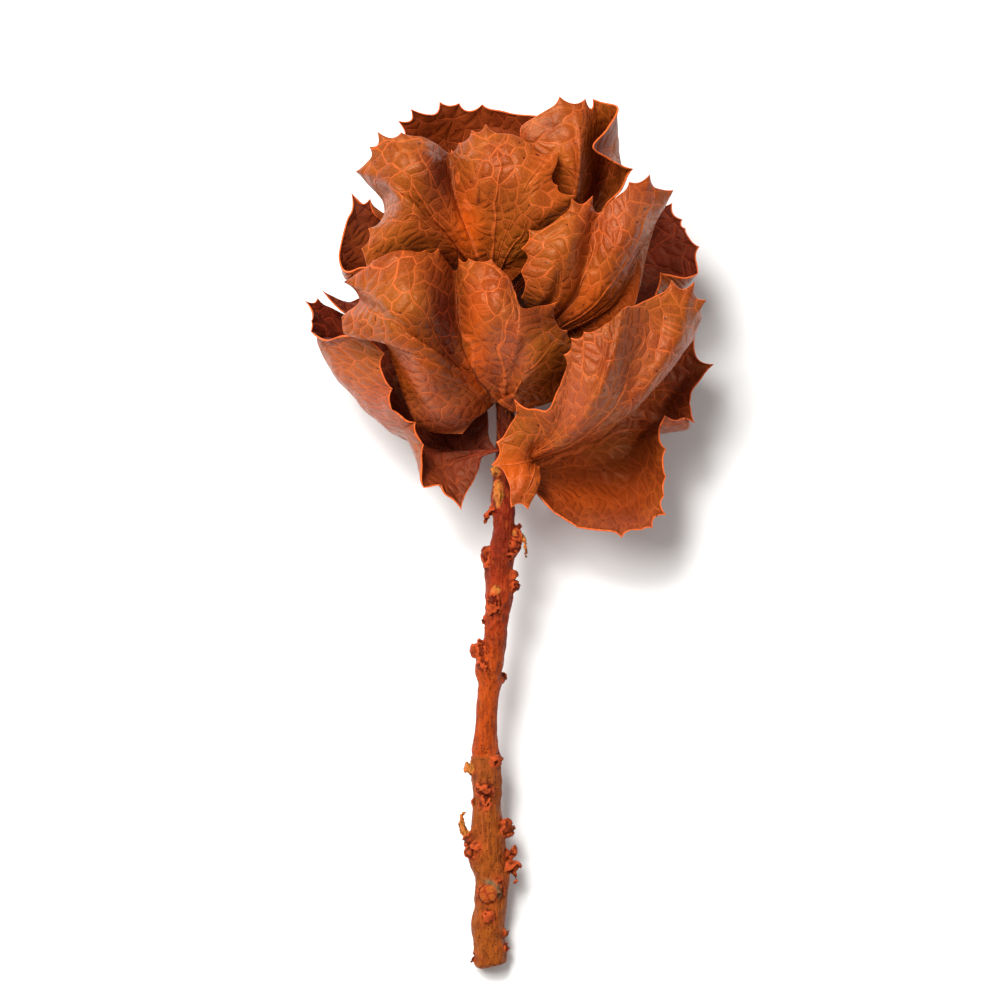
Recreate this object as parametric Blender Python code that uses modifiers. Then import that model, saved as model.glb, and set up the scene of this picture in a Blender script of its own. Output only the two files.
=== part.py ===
"""Dried queen flower: a cut branch tip with a head of cupped, spiny leaves on a woody stem, lying down.

Metres, +Z up. The branch lies along +Y on the floor at Z = 0, resting on two lobes of its lowest back
leaf and on the cut end of the stem. It is drawn on a design grid whose steps are a share of its real
length: x to the right, y up the stem from the sheet's lower edge, z from the stem's axis towards the
side that faces up when it lies.
"""

import math
import random

import bmesh
import bpy
import numpy as np

# Driving sizes, metres
PLANT_LENGTH = 0.314  # from the cut end of the stem to the topmost spine
BLADE = 0.0008  # thickness of a dried leaf
SEAT_GAP = 0.0004  # clear space between a leaf's foot and the bark

# The design grid
GRID_LENGTH = 872  # the plant's length in steps of the grid
STEP = PLANT_LENGTH / GRID_LENGTH  # one step, metres
CUT_REST = (40, -15.2)  # y and z of the floor under the cut end, grid steps
LOBE_REST = (718, -136.4)  # y and z of the floor under the lowest leaf, grid steps

# Leaves: sampling and teeth
ROWS = (0.0, 0.2, 0.42, 0.64, 0.84)  # rows of points from the foot of a rib towards its margin
COLUMN_PITCH = 17  # distance between columns of points along the margin, grid steps
TOOTH_PITCH = 34  # distance between teeth on margins that are out of sight, grid steps
TOOTH_LENGTH = 8  # their length, grid steps
CLOSEST_TEETH = 9  # teeth nearer than this to the last one are left out, grid steps
TOOTH_FOOT = 5  # half width of a tooth's foot, grid steps
FOOT_SHARE = 0.6  # the same at most, as a share of the distance to the next column
MARGIN_END = 14  # bare margin next to the leaf's foot, grid steps

LEAF_BROWN = (0.479, 0.112, 0.017, 1.0)
LEAF_DARK = (0.125, 0.022, 0.012, 1.0)
BARK = (0.319, 0.076, 0.026, 1.0)

# The stem's axis and radius at heights up the plant: (y, x, z, radius), grid steps
STEM = (
    (31.5, -8.8, 0, 11.5), (33.5, -9.2, 0, 14.8), (38, -9.3, 0, 15.8), (46, -9.8, 0, 16.0),
    (57, -10.8, 0, 15.9), (74, -12.4, 0, 16.7), (90, -9.8, 0, 16.2), (104, -8.9, 0, 16.6),
    (123, -8.0, 0, 17.0), (140, -12.5, 0, 18.2), (155, -12.8, 0, 18.4), (170, -13.0, 0, 16.2),
    (185, -13.2, 0, 14.4), (200, -12.6, 0, 13.9), (214, -12.4, 0, 15.0), (230, -14.6, 0, 15.2),
    (243, -14.8, 0, 13.8), (253, -14.8, 0, 13.2), (264, -14.4, 0, 11.6), (280, -13.6, 0, 10.8),
    (297, -12.6, 0, 10.8), (316, -10.6, 0, 11.6), (330, -11.4, 0, 13.6), (345, -8.4, 0, 13.0),
    (360, -4.6, 0, 11.6), (372, -4.4, 0, 11.6), (388, -2.6, 0, 12.4), (400, -1.0, 0, 14.0),
    (412, -0.6, 0, 14.0), (426, -1.6, 0, 13.8), (440, -0.6, 0, 14.2), (455, 2.6, 0, 12.2),
    (470, 3.4, 0, 10.6), (485, 4.0, 0, 11.0), (500, 3.0, 0, 11.6), (515, 3.2, 0, 11.0), (540, 5.0, 0, 10.2),
    (570, 6.0, 0, 9.6), (600, 5.0, 0, 9.2), (630, 2.6, 0, 8.8), (660, -1.0, 0, 8.2), (690, -5.0, 0, 7.6),
    (720, -9.4, 0, 7.0), (750, -12.6, 0, 6.2), (780, -15.0, 0, 5.0), (803, -16.0, 0, 3.6),
    (812, -16.4, 0, 2.0),
)
STEM_SIDES = 4  # bevel resolution of the stem, which gives 12 sides
GROWTH_SIDES = 1  # bevel resolution of what grows on it, which gives 6 sides
WELD = 1e-6  # the caps of a tube are joined to its wall within this distance, metres
STEM_TURN = math.radians(15)  # turns the sides so that one of them faces the floor

# Knobs, stubs, spurs and torn bark on the stem. Each is a short tapered tube through points
# (x, y, z, radius), its root inside the wood.
GROWTHS = {
    "branch_scar": (
        (-12.4, 106, 2, 8.5), (-12.4, 106, 15, 9.5), (-12.4, 106, 19.5, 9.0), (-12.4, 106, 21, 6.0),
    ),
    "scar_crater": ((-11, 83, 8, 6.0), (-11, 83, 16.5, 5.5), (-11, 83, 18.4, 3.5)),
    "scar_lip": ((-4, 120, 8, 5.0), (-2, 116, 16.5, 4.5), (1, 108, 17, 3.5), (1.5, 102, 14, 2.0)),
    "cut_spur": ((-20, 44, 0, 5.0), (-27, 38, 2, 3.0), (-29.5, 36.5, 2, 1.2)),
    "foot_bump_low": ((0, 50, 3, 5.0), (6.5, 51, 4, 4.5), (9.2, 51, 4, 2.5)),
    "foot_bump_high": ((-1, 63, 3, 5.0), (6, 65, 3, 4.0), (8.8, 67, 3, 2.0)),
    "right_stub": ((0, 131, 3, 6.0), (10, 132, 5, 5.5), (17, 132, 6, 4.8), (19.4, 130, 6, 3.0)),
    "right_shred": ((12, 128, 5, 3.0), (16, 121, 7, 2.0), (14.6, 114, 8, 0.9)),
    "right_flare": ((2, 142, 2, 6.0), (10, 145, 3, 4.5), (14.6, 150, 3, 2.5), (15.5, 153, 3, 1.2)),
    "right_lobe": ((0, 168, 3, 7.0), (8, 169, 5, 7.0), (12.5, 170, 6, 5.0), (14.6, 171, 6, 2.5)),
    "right_lobe_top": ((0, 171, 3, 6.0), (7, 175, 5, 5.4), (11, 180, 6, 2.6)),
    "left_knob_high": ((-24, 158, 4, 8.0), (-32, 157, 6, 7.0), (-36, 156, 7, 4.0)),
    "left_knob_low": ((-22, 147, 6, 8.0), (-30, 146, 10, 7.0), (-33, 144, 12, 4.5)),
    "left_knob_front": ((-20, 151, 8, 6.0), (-24, 152, 16, 5.5), (-25, 152, 18.5, 3.0)),
    "left_hook": (
        (-26, 157, 2, 4.5), (-35, 165, 0, 3.4), (-39, 176, 0, 2.6), (-38, 183, 0, 2.0), (-35, 187, 0, 1.0),
    ),
    "left_bump": ((-22, 196, 0, 4.0), (-27, 197, 1, 2.4), (-29, 197, 1, 1.2)),
    "scar_cluster": ((-15, 212, 4, 9.0), (-15, 208, 12, 9.0), (-15, 205, 14, 6.5)),
    "scar_cluster_low": ((-15, 196, 4, 6.0), (-15, 195, 12, 5.6), (-15, 193, 14.4, 3.4)),
    "ring_left": ((-22, 230, 2, 7.0), (-30, 231, 4, 5.8), (-34.5, 232, 5, 5.0)),
    "ring_eye": ((-5, 238, 6, 6.0), (-4.5, 237, 14.5, 5.0), (-4.5, 236, 16.2, 3.0)),
    "ring_right": ((-6, 240, 0, 7.0), (-0.4, 241, 0, 4.5), (1.6, 242, 0, 2.0)),
    "mid_left_block": ((-14, 346, 2, 8.0), (-24, 349, 3, 7.0), (-29.5, 350, 4, 5.0)),
    "mid_left_spike": ((-16, 352, 3, 5.0), (-20.5, 358, 4, 2.6), (-21, 361, 4, 1.0)),
    "mid_left_eye": ((-14, 334, 4, 8.0), (-18, 335, 12, 5.5), (-19, 335, 13.8, 3.2)),
    "thin_spur": ((-10, 380, 0, 5.0), (-17.5, 379.5, 0, 2.6), (-21.4, 379, 0, 1.0)),
    "red_scar": ((-6, 386, 5, 7.0), (-6, 395, 11, 7.0), (-6, 402, 13.4, 5.0), (-6, 406, 12, 2.5)),
    "pale_chip": ((-4, 406, 9, 4.5), (-4, 410, 14, 3.2), (-5, 413, 14.6, 1.4)),
    "right_bump_low": ((8, 412, 2, 7.0), (16, 413, 3, 5.6), (20, 412, 3, 3.6)),
    "right_bump_high": ((6, 423, 3, 6.0), (14, 425, 5, 4.6), (18, 426, 5, 2.6)),
    "left_flap": ((-10, 436, 2, 7.0), (-13, 444, 4, 6.0), (-14, 451, 4, 4.2), (-14, 453, 4, 2.5)),
    "torn_bark": ((8, 445, 3, 7.0), (15, 456, 5, 6.0), (18.5, 466, 5, 4.0), (18, 476, 4, 2.0)),
    "hanging_strip": ((15, 466, 4, 3.2), (23, 464, 5, 2.2), (25.5, 453, 5, 1.6), (25.5, 441, 5, 1.2)),
    "upper_hook": ((-2, 496, 2, 5.0), (-9, 489, 3, 3.0), (-14, 483, 3, 2.4), (-15, 476, 3, 1.0)),
    "long_scar": ((-1, 520, 4, 3.6), (-1, 513, 8.5, 4.4), (-1, 504, 9, 4.4), (-1, 495, 8, 2.6)),
    "rolled_stipule": ((-1, 526, 4, 4.0), (-5, 529, 8.5, 3.4), (-5, 533, 10.5, 2.6), (-3, 534, 12.5, 1.2)),
    "back_knob_low": ((-12, 112, -4, 8.0), (-14, 114, -15, 6.5), (-14, 114, -17.5, 3.5)),
    "back_knob_mid": ((-14, 222, -4, 7.0), (-17, 224, -15, 5.0), (-17, 225, -17, 2.5)),
    "back_stub": ((-6, 318, -2, 6.0), (2, 322, -10, 4.6), (5, 324, -13.5, 2.4)),
    "back_scar": ((-2, 405, -4, 7.0), (-4, 406, -13, 5.5), (-4, 407, -15.4, 2.6)),
    "back_spur": ((3, 470, -2, 5.0), (6, 474, -10.5, 3.0), (7, 476, -14, 1.2)),
}

# Each leaf: seat = (height, azimuth, half spread) of its foot round the stem, with azimuths in degrees from
# the side that faces up, growing to the right; ribs = points from the foot to the margin, in order along
# the margin; tips = (x, y) of the spines in the same order; toothed = stretches of rib numbers that get
# even teeth.
LEAVES = {
    "leaf_front_centre": {
        "seat": (597, -20, 60),
        "ribs": (
            ((-26, 580, 26), (-37, 566, 30)),
            ((-55, 575, 46), (-82, 576, 22)),
            ((-68, 600, 66), (-97, 608, 18)),
            ((-79, 625, 86), (-107, 638, 29)),
            ((-86, 639, 96), (-114, 656, 46)),
            ((-90, 648, 102), (-138, 667, 62)),
            ((-92, 650, 104), (-155, 666, 58)),
            ((-98, 665, 112), (-155, 682, 57)),
            ((-62, 636, 74), (-98, 672, 114), (-140, 698, 52)),
            ((-62, 640, 77), (-98, 680, 118), (-147, 719, 66)),
            ((-58, 645, 79), (-92, 690, 120), (-132, 731, 82)),
            ((-54, 649, 79), (-82, 697, 120), (-100, 747, 95)),
            ((-46, 649, 76), (-69, 697, 114), (-75, 744, 92)),
            ((-38, 647, 70), (-54, 693, 98), (-59, 742, 80)),
            ((-27, 630, 54), (-40, 682, 80), (-45, 728, 62)),
            ((-17, 642, 68), (-29, 688, 96), (-37, 734, 80)),
            ((-10, 644, 74), (-12, 690, 108), (-14, 735, 92)),
            ((-1, 642, 76), (4, 687, 112), (7, 722, 98)),
            ((6, 636, 72), (13, 680, 110), (12, 708, 101), (10, 717, 98)),
            ((10, 632, 70), (19, 668, 112), (22, 690, 104)),
            ((14, 628, 66), (30, 664, 104), (44, 692, 92)),
            ((40, 645, 91), (60, 669, 76)),
            ((40, 628, 74), (78, 648, 48)),
            ((28, 612, 52), (60, 605, 28)),
            ((-2, 598, 26), (12, 588, 20)),
        ),
        "tips": (
            (-137, 670), (-158, 682), (-156, 717), (-126, 738), (-74, 748), (-61, 750), (-41, 740),
            (-31, 740), (-8, 739), (57, 697), (67, 669),
        ),
        "toothed": ((0.5, 4), (22, 23.5)),
    },
    "leaf_front_upper": {
        "seat": (716, -10, 60),
        "ribs": (
            ((-45, 738, 30), (-60, 732, 40)),
            ((-85, 745, 66), (-128, 723, 60)),
            ((-95, 760, 84), (-134, 742, 68)),
            ((-98, 775, 92), (-126, 766, 70)),
            ((-98, 788, 96), (-116, 781, 60)),
            ((-100, 800, 98), (-116, 797, 42)),
            ((-60, 768, 70), (-100, 812, 100), (-138, 828, 64)),
            ((-57, 773, 73), (-95, 822, 104), (-126, 842, 78)),
            ((-54, 777, 75), (-90, 830, 104), (-117, 854, 84)),
            ((-49, 779, 76), (-80, 835, 104), (-98, 860, 86)),
            ((-44, 778, 75), (-68, 832, 100), (-78, 860, 84)),
            ((-38, 774, 70), (-58, 825, 88), (-64, 854, 74)),
            ((-30, 762, 60), (-43, 806, 76), (-49, 845, 64)),
            ((-24, 770, 70), (-32, 820, 92), (-41, 850, 72)),
            ((-16, 775, 76), (-18, 828, 104), (-24, 862, 86)),
            ((-7, 776, 78), (-2, 830, 108), (0, 863, 92)),
            ((-2, 776, 78), (7, 830, 108), (12, 862, 94)),
            ((2, 774, 78), (16, 826, 108), (23, 857, 96)),
            ((6, 772, 78), (25, 820, 107), (36, 845, 98)),
            ((9, 768, 77), (32, 814, 105), (56, 836, 96)),
            ((11, 765, 76), (36, 806, 103), (51, 820, 96)),
            ((13, 760, 74), (38, 796, 101), (53, 809, 94)),
            ((13, 754, 68), (38, 782, 96), (66, 799, 90)),
            ((11, 745, 56), (32, 766, 82), (58, 778, 80)),
            ((2, 734, 38), (20, 742, 54), (38, 745, 52)),
            ((-8, 732, 20), (6, 714, 26)),
        ),
        "tips": (
            (-138, 750), (-131, 770), (-144, 827), (-130, 851), (-122, 866), (-98, 865), (-41, 855),
            (-28, 867), (-14, 873), (57, 845), (75, 802),
        ),
        "toothed": ((20, 24.5),),
    },
    "leaf_left_low": {
        "seat": (550, -75, -60),
        "ribs": (
            ((-18, 542, 6), (-21, 532, 10)),
            ((-30, 534, 8), (-30, 513, 18)),
            ((-42, 532, 6), (-40, 501, 24)),
            ((-52, 533, 2), (-53, 504, 28)),
            ((-60, 536, -2), (-63, 513, 32)),
            ((-68, 542, -6), (-76, 514, 34)),
            ((-48, 544, -12), (-81, 543, 2), (-78, 537, 34)),
            ((-52, 546, -18), (-94, 562, 0), (-80, 559, 42)),
            ((-54, 548, -22), (-112, 572, 2), (-95, 580, 46)),
            ((-55, 549, -26), (-134, 592, 4), (-109, 596, 48)),
            ((-56, 550, -28), (-148, 610, 6), (-112, 613, 48)),
            ((-56, 550, -30), (-158, 624, 6), (-119, 633, 48)),
            ((-57, 551, -32), (-167, 638, 4), (-121, 650, 48)),
            ((-58, 551, -34), (-173, 650, 2), (-134, 662, 46)),
            ((-58, 552, -35), (-179, 658, 0), (-155, 664, 36)),
            ((-58, 552, -36), (-182, 663, -4), (-175, 660, 18)),
            ((-58, 552, -36), (-182, 668, -10), (-188, 669, 4)),
            ((-58, 552, -37), (-175, 672, -22), (-188, 682, -8)),
            ((-58, 552, -38), (-115, 600, -52), (-170, 675, -34), (-189, 697, -24)),
            ((-58, 552, -40), (-110, 600, -56), (-155, 675, -46), (-176, 696, -38)),
            ((-57, 553, -40), (-100, 598, -60), (-158, 688, -50)),
            ((-56, 553, -40), (-86, 600, -60), (-120, 672, -62)),
            ((-53, 554, -38), (-74, 600, -56), (-86, 648, -60)),
            ((-46, 554, -30), (-55, 584, -44), (-60, 612, -48)),
            ((-30, 554, -18), (-34, 572, -27), (-38, 592, -31)),
            ((-18, 559, -12), (-22, 576, -19), (-25, 592, -23)),
            ((-11, 563, -12), (-12, 579, -13), (-13, 592, -15)),
        ),
        "tips": (
            (-39, 490), (-53, 490), (-58, 515), (-76, 512), (-76, 555), (-84, 578), (-108, 590), (-107, 611),
            (-115, 646), (-190, 669), (-190, 680), (-197, 701), (-189, 704), (-184, 704),
        ),
        "toothed": ((20, 24),),
    },
    "leaf_left_edge": {
        "seat": (640, -130, -40),
        "ribs": (
            ((-50, 628, -16), (-80, 625, -16)),
            ((-60, 642, -24), (-118, 661, -18)),
            ((-70, 655, -30), (-149, 683, -18)),
            ((-80, 665, -34), (-164, 694, -19)),
            ((-85, 672, -36), (-173, 704, -22)),
            ((-85, 682, -38), (-166, 702, -30)),
            ((-85, 690, -42), (-155, 699, -36)),
            ((-80, 696, -44), (-142, 704, -41)),
            ((-70, 698, -46), (-115, 712, -50)),
            ((-50, 692, -44), (-75, 706, -50)),
            ((-20, 666, -26), (-35, 684, -38)),
        ),
        "tips": ((-179, 711), (-169, 711)),
        "toothed": ((0.5, 2), (7.3, 10)),
    },
    "leaf_left_back": {
        "seat": (670, -100, -45),
        "ribs": (
            ((-45, 678, -4), (-88, 708, 10)),
            ((-75, 688, -20), (-120, 708, 0), (-124, 732, 26)),
            ((-85, 695, -26), (-140, 712, 2), (-139, 733, 24)),
            ((-92, 702, -32), (-150, 719, 0), (-150, 729, 20)),
            ((-100, 710, -36), (-157, 730, -6), (-158, 732, 8)),
            ((-110, 732, -42), (-162, 744, 0)),
            ((-115, 752, -46), (-160, 758, -5)),
            ((-118, 765, -46), (-157, 771, -8)),
            ((-115, 775, -48), (-152, 786, -12)),
            ((-110, 780, -48), (-145, 794, -18)),
            ((-105, 782, -50), (-136, 796, -26)),
            ((-100, 778, -50), (-122, 784, -36)),
            ((-80, 765, -48), (-98, 780, -44)),
            ((-50, 725, -30), (-70, 745, -38)),
            ((-22, 684, -12), (-34, 700, -20)),
        ),
        "tips": ((-150, 810), (-141, 822), (-131, 804)),
        "toothed": ((11.3, 13.5),),
    },
    "leaf_top_back": {
        "seat": (768, 180, -45),
        "ribs": (
            ((-45, 785, -24), (-75, 808, -22)),
            ((-60, 810, -32), (-100, 845, -16)),
            ((-60, 835, -38), (-92, 872, 0)),
            ((-55, 845, -40), (-82, 886, 2)),
            ((-50, 850, -42), (-66, 888, -8)),
            ((-42, 850, -44), (-48, 896, -16)),
            ((-32, 850, -46), (-33, 892, -20)),
            ((-20, 850, -46), (-17, 894, -22)),
            ((-8, 848, -44), (-2, 893, -22)),
            ((5, 845, -42), (15, 889, -20)),
            ((15, 840, -40), (34, 887, -16)),
            ((25, 830, -36), (55, 880, -10)),
            ((25, 815, -30), (60, 840, -14)),
            ((12, 785, -16), (42, 795, -18)),
        ),
        "tips": (
            (-103, 881), (-90, 893), (-79, 897), (-61, 901), (-41, 900), (-18, 899), (-9, 903), (43, 888),
        ),
        "toothed": ((0.3, 1.3), (11.3, 12.7)),
    },
    "leaf_top_right": {
        "seat": (700, 70, 40),
        "ribs": (
            ((20, 715, 12), (45, 728, 22)),
            ((45, 745, 28), (75, 778, 50)),
            ((52, 755, 34), (74, 790, 58), (64, 796, 60)),
            ((52, 755, 36), (74, 800, 66), (54, 811, 66)),
            ((53, 756, 36), (74, 812, 76), (48, 828, 74)),
            ((53, 756, 36), (73, 820, 82), (38, 840, 78)),
            ((54, 757, 36), (72, 828, 87), (24, 852, 80)),
            ((54, 757, 36), (70, 840, 89), (20, 868, 80)),
            ((55, 758, 36), (71, 848, 90), (36, 881, 82)),
            ((56, 758, 36), (76, 845, 90), (67, 894, 82)),
            ((58, 758, 34), (82, 842, 88), (82, 891, 78)),
            ((64, 758, 24), (90, 835, 52), (91, 888, 76)),
            ((68, 758, 16), (98, 830, 24), (102, 894, 72)),
            ((70, 758, 14), (104, 825, 14), (116, 892, 70)),
            ((70, 758, 14), (106, 815, 12), (118, 858, 40), (106, 868, 80)),
            ((70, 758, 14), (106, 810, 10), (120, 840, 38), (92, 850, 86)),
            ((70, 758, 14), (107, 804, 8), (121, 832, 34), (108, 839, 76)),
            ((70, 758, 14), (108, 800, 10), (126, 827, 58)),
            ((70, 758, 14), (106, 794, 12), (121, 810, 48)),
            ((68, 757, 14), (98, 786, 20), (107, 796, 42)),
            ((60, 748, 14), (96, 772, 28)),
            ((30, 718, 10), (55, 724, 16)),
        ),
        "tips": ((59, 901), (85, 899), (92, 899), (105, 905), (133, 830)),
        "toothed": (),
    },
    "leaf_right_middle": {
        "seat": (655, 50, 45),
        "ribs": (
            ((32, 678, 48), (21, 701, 82)),
            ((40, 688, 64), (40, 703, 94), (25, 715, 97)),
            ((45, 692, 70), (45, 715, 104), (22, 727, 98)),
            ((50, 698, 78), (50, 730, 110), (28, 740, 100)),
            ((53, 700, 82), (53, 738, 112), (27, 752, 99)),
            ((57, 703, 86), (56, 748, 114), (35, 762, 100)),
            ((60, 705, 88), (62, 754, 114), (52, 774, 100)),
            ((65, 708, 88), (70, 755, 112), (68, 786, 98)),
            ((70, 708, 84), (78, 752, 102), (83, 791, 94)),
            ((75, 708, 74), (88, 748, 84), (98, 785, 84)),
            ((84, 708, 78), (100, 748, 92), (111, 797, 86)),
            ((92, 708, 80), (112, 752, 96), (123, 806, 84)),
            ((100, 708, 80), (124, 756, 94), (140, 815, 76)),
            ((106, 708, 76), (134, 758, 84), (153, 811, 68)),
            ((110, 708, 70), (145, 766, 66), (167, 807, 54)),
            ((112, 704, 64), (150, 770, 50), (155, 778, 26)),
            ((112, 700, 58), (142, 744, 52), (144, 737, 44)),
            ((110, 694, 52), (136, 720, 50), (138, 707, 48)),
            ((100, 682, 42), (130, 682, 40)),
            ((70, 668, 26), (92, 655, 28)),
            ((30, 655, 12), (48, 640, 18)),
        ),
        "tips": (
            (21, 726), (21, 749), (28, 768), (71, 799), (92, 802), (128, 816), (149, 824), (173, 809),
        ),
        "toothed": ((18, 19.6),),
    },
    "leaf_right_back": {
        "seat": (615, 105, 40),
        "ribs": (
            ((60, 650, -6), (100, 660, 8)),
            ((90, 670, -20), (148, 688, 8)),
            ((120, 700, -34), (172, 707, -12), (168, 725, 14)),
            ((128, 710, -42), (184, 715, -12), (186, 723, 6)),
            ((132, 720, -46), (192, 724, -16), (198, 729, -6)),
            ((134, 732, -50), (197, 744, -14)),
            ((134, 745, -52), (192, 762, -20)),
            ((132, 755, -54), (185, 772, -26)),
            ((128, 762, -56), (176, 786, -30)),
            ((120, 768, -58), (164, 795, -36)),
            ((105, 770, -58), (140, 804, -42)),
            ((85, 760, -52), (112, 788, -46)),
            ((60, 728, -40), (75, 768, -46)),
            ((30, 670, -20), (35, 708, -32)),
        ),
        "tips": ((160, 728), (199, 728), (201, 755), (187, 774), (184, 783), (174, 800)),
        "toothed": ((0.3, 1.3), (10, 12.7)),
    },
    "leaf_front_right": {
        "seat": (538, 75, 35),
        "ribs": (
            ((34, 535, 12), (40, 533, 20), (37, 523, 27)),
            ((33, 536, 12), (37, 528, 24), (29, 499, 33)),
            ((33, 536, 12), (34, 528, 26), (21, 498, 35)),
            ((32, 537, 12), (31, 530, 27), (12, 501, 36)),
            ((31, 537, 12), (28, 532, 28), (10, 513, 35)),
            ((31, 538, 12), (26, 535, 29), (5, 526, 35)),
            ((31, 540, 13), (24, 541, 31), (0, 543, 38)),
            ((31, 543, 16), (25, 551, 35), (3, 560, 40)),
            ((30, 548, 22), (30, 562, 42), (16, 583, 46)),
            ((27, 549, 24), (39, 567, 48), (33, 591, 60)),
            ((49, 571, 55), (46, 589, 70)),
            ((56, 578, 63), (58, 612, 80)),
            ((62, 586, 70), (67, 634, 86)),
            ((68, 590, 76), (74, 654, 90)),
            ((74, 590, 80), (88, 632, 94), (90, 665, 92)),
            ((80, 588, 84), (100, 632, 99), (108, 676, 94)),
            ((84, 582, 86), (108, 628, 104), (123, 690, 93)),
            ((92, 580, 80), (120, 630, 88), (131, 692, 82)),
            ((100, 580, 72), (134, 636, 74), (146, 699, 68)),
            ((108, 580, 66), (150, 642, 68), (168, 708, 60)),
            ((114, 580, 60), (164, 644, 68), (187, 708, 54)),
            ((117, 578, 54), (172, 642, 60), (199, 694, 38)),
            ((114, 574, 46), (166, 628, 50), (196, 668, 18)),
            ((108, 570, 38), (148, 606, 40), (174, 644, -4)),
            ((98, 566, 32), (126, 590, 26), (146, 606, -14)),
            ((80, 560, 24), (92, 567, 12), (98, 570, -8)),
            ((52, 546, 16), (58, 551, 2)),
        ),
        "tips": (
            (28, 490), (21, 487), (11, 492), (-9, 535), (-4, 558), (14, 601), (60, 614), (63, 644), (70, 661),
            (83, 667), (104, 674), (127, 693), (171, 719), (194, 718), (206, 700), (202, 682),
        ),
        "toothed": ((22.5, 24.2),),
    },
    "leaf_right_low": {
        "seat": (522, 105, 45),
        "ribs": (
            ((29, 516, 4), (35, 510, 12)),
            ((38, 509, 2), (44, 498, 18)),
            ((52, 503, -5), (60, 484, 20)),
            ((72, 500, -14), (80, 473, 22)),
            ((92, 500, -22), (106, 469, 24)),
            ((106, 502, -28), (128, 469, 22)),
            ((116, 508, -34), (148, 474, 16)),
            ((124, 516, -38), (155, 485, 10)),
            ((130, 528, -42), (162, 502, 4)),
            ((134, 540, -46), (164, 524, 2)),
            ((136, 554, -48), (163, 545, 2)),
            ((138, 564, -50), (160, 562, 4)),
            ((140, 575, -52), (177, 571, -6), (161, 576, 16)),
            ((142, 584, -54), (190, 576, -14), (180, 581, 4)),
            ((144, 595, -56), (192, 590, -12)),
            ((145, 608, -58), (193, 608, -20)),
            ((145, 620, -58), (205, 628, -26)),
            ((142, 630, -60), (197, 648, -30)),
            ((136, 638, -62), (194, 662, -34)),
            ((122, 638, -62), (165, 670, -46)),
            ((106, 628, -56), (136, 655, -58)),
            ((80, 600, -42), (100, 622, -52)),
            ((45, 555, -20), (58, 578, -34)),
        ),
        "tips": (
            (43, 501), (54, 487), (78, 472), (122, 462), (132, 470), (142, 470), (153, 472), (167, 485),
            (165, 504), (167, 523), (167, 551), (165, 585), (196, 577), (191, 597), (216, 637), (197, 666),
        ),
        "toothed": ((19, 21.5),),
    },
    "leaf_back_right": {
        "seat": (602, 142, 32),
        "ribs": (
            ((40, 615, -40), (65, 625, -64)),
            ((60, 635, -64), (100, 645, -92)),
            ((85, 655, -82), (134, 668, -98)),
            ((100, 680, -94), (152, 700, -110)),
            ((105, 700, -100), (154, 735, -100)),
            ((100, 720, -104), (145, 764, -108)),
            ((90, 738, -106), (122, 788, -92)),
            ((70, 745, -106), (90, 804, -100)),
            ((50, 740, -102), (56, 808, -88)),
            ((32, 720, -90), (30, 788, -90)),
            ((22, 690, -68), (18, 750, -82)),
            ((14, 650, -36), (12, 700, -58)),
        ),
        "tips": (),
        "toothed": ((0, 11),),
    },
    "leaf_back_left": {
        "seat": (625, -140, -30),
        "ribs": (
            ((-30, 628, -38), (-55, 626, -58)),
            ((-52, 645, -62), (-88, 642, -88)),
            ((-70, 665, -80), (-116, 668, -94)),
            ((-80, 685, -92), (-132, 700, -110)),
            ((-85, 708, -100), (-132, 735, -100)),
            ((-85, 730, -104), (-125, 764, -110)),
            ((-80, 750, -106), (-106, 792, -98)),
            ((-65, 760, -106), (-80, 811, -104)),
            ((-45, 760, -104), (-50, 818, -90)),
            ((-28, 745, -98), (-22, 800, -92)),
            ((-16, 710, -76), (-10, 762, -84)),
            ((-7, 665, -40), (-3, 712, -58)),
        ),
        "tips": (),
        "toothed": ((0, 11),),
    },
    "leaf_back_centre": {
        "seat": (596, 180, -50),
        "ribs": (
            ((-24, 608, -48), (-48, 604, -72)),
            ((-48, 625, -84), (-85, 625, -110)),
            ((-64, 650, -112), (-110, 656, -118)),
            ((-68, 678, -130), (-120, 700, -128)),
            ((-64, 702, -138), (-112, 742, -122)),
            ((-50, 718, -140), (-84, 772, -132)),
            ((-26, 720, -130), (-45, 780, -118)),
            ((4, 712, -118), (3, 760, -112)),
            ((34, 720, -130), (52, 782, -128)),
            ((60, 716, -138), (92, 770, -120)),
            ((74, 700, -136), (122, 736, -132)),
            ((78, 675, -128), (130, 692, -120)),
            ((72, 648, -112), (116, 652, -124)),
            ((56, 624, -84), (90, 624, -100)),
            ((32, 608, -48), (56, 604, -72)),
        ),
        "tips": (),
        "toothed": ((0, 14),),
    },
    "leaf_back_upper": {
        "seat": (708, 180, -50),
        "ribs": (
            ((-30, 726, -36), (-52, 728, -56)),
            ((-48, 745, -58), (-88, 755, -74)),
            ((-55, 775, -68), (-102, 805, -80)),
            ((-50, 800, -74), (-90, 842, -76)),
            ((-38, 815, -76), (-62, 862, -72)),
            ((-25, 820, -74), (-38, 870, -66)),
            ((-12, 815, -68), (-15, 858, -60)),
            ((2, 820, -74), (10, 870, -66)),
            ((16, 814, -78), (35, 862, -72)),
            ((30, 800, -80), (60, 840, -76)),
            ((38, 775, -78), (75, 800, -78)),
            ((30, 745, -62), (65, 755, -72)),
            ((12, 726, -34), (30, 728, -54)),
        ),
        "tips": (),
        "toothed": ((0, 12),),
    },
    "leaf_tip": {
        "seat": (800, -5, 65),
        "ribs": (
            ((-30, 804, 12), (-44, 810, 20)),
            ((-38, 816, 20), (-54, 832, 26)),
            ((-37, 824, 24), (-45, 842, 24)),
            ((-28, 830, 22), (-30, 844, 18)),
            ((-18, 828, 18), (-16, 840, 10)),
            ((-6, 828, 18), (-2, 844, 8)),
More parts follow.
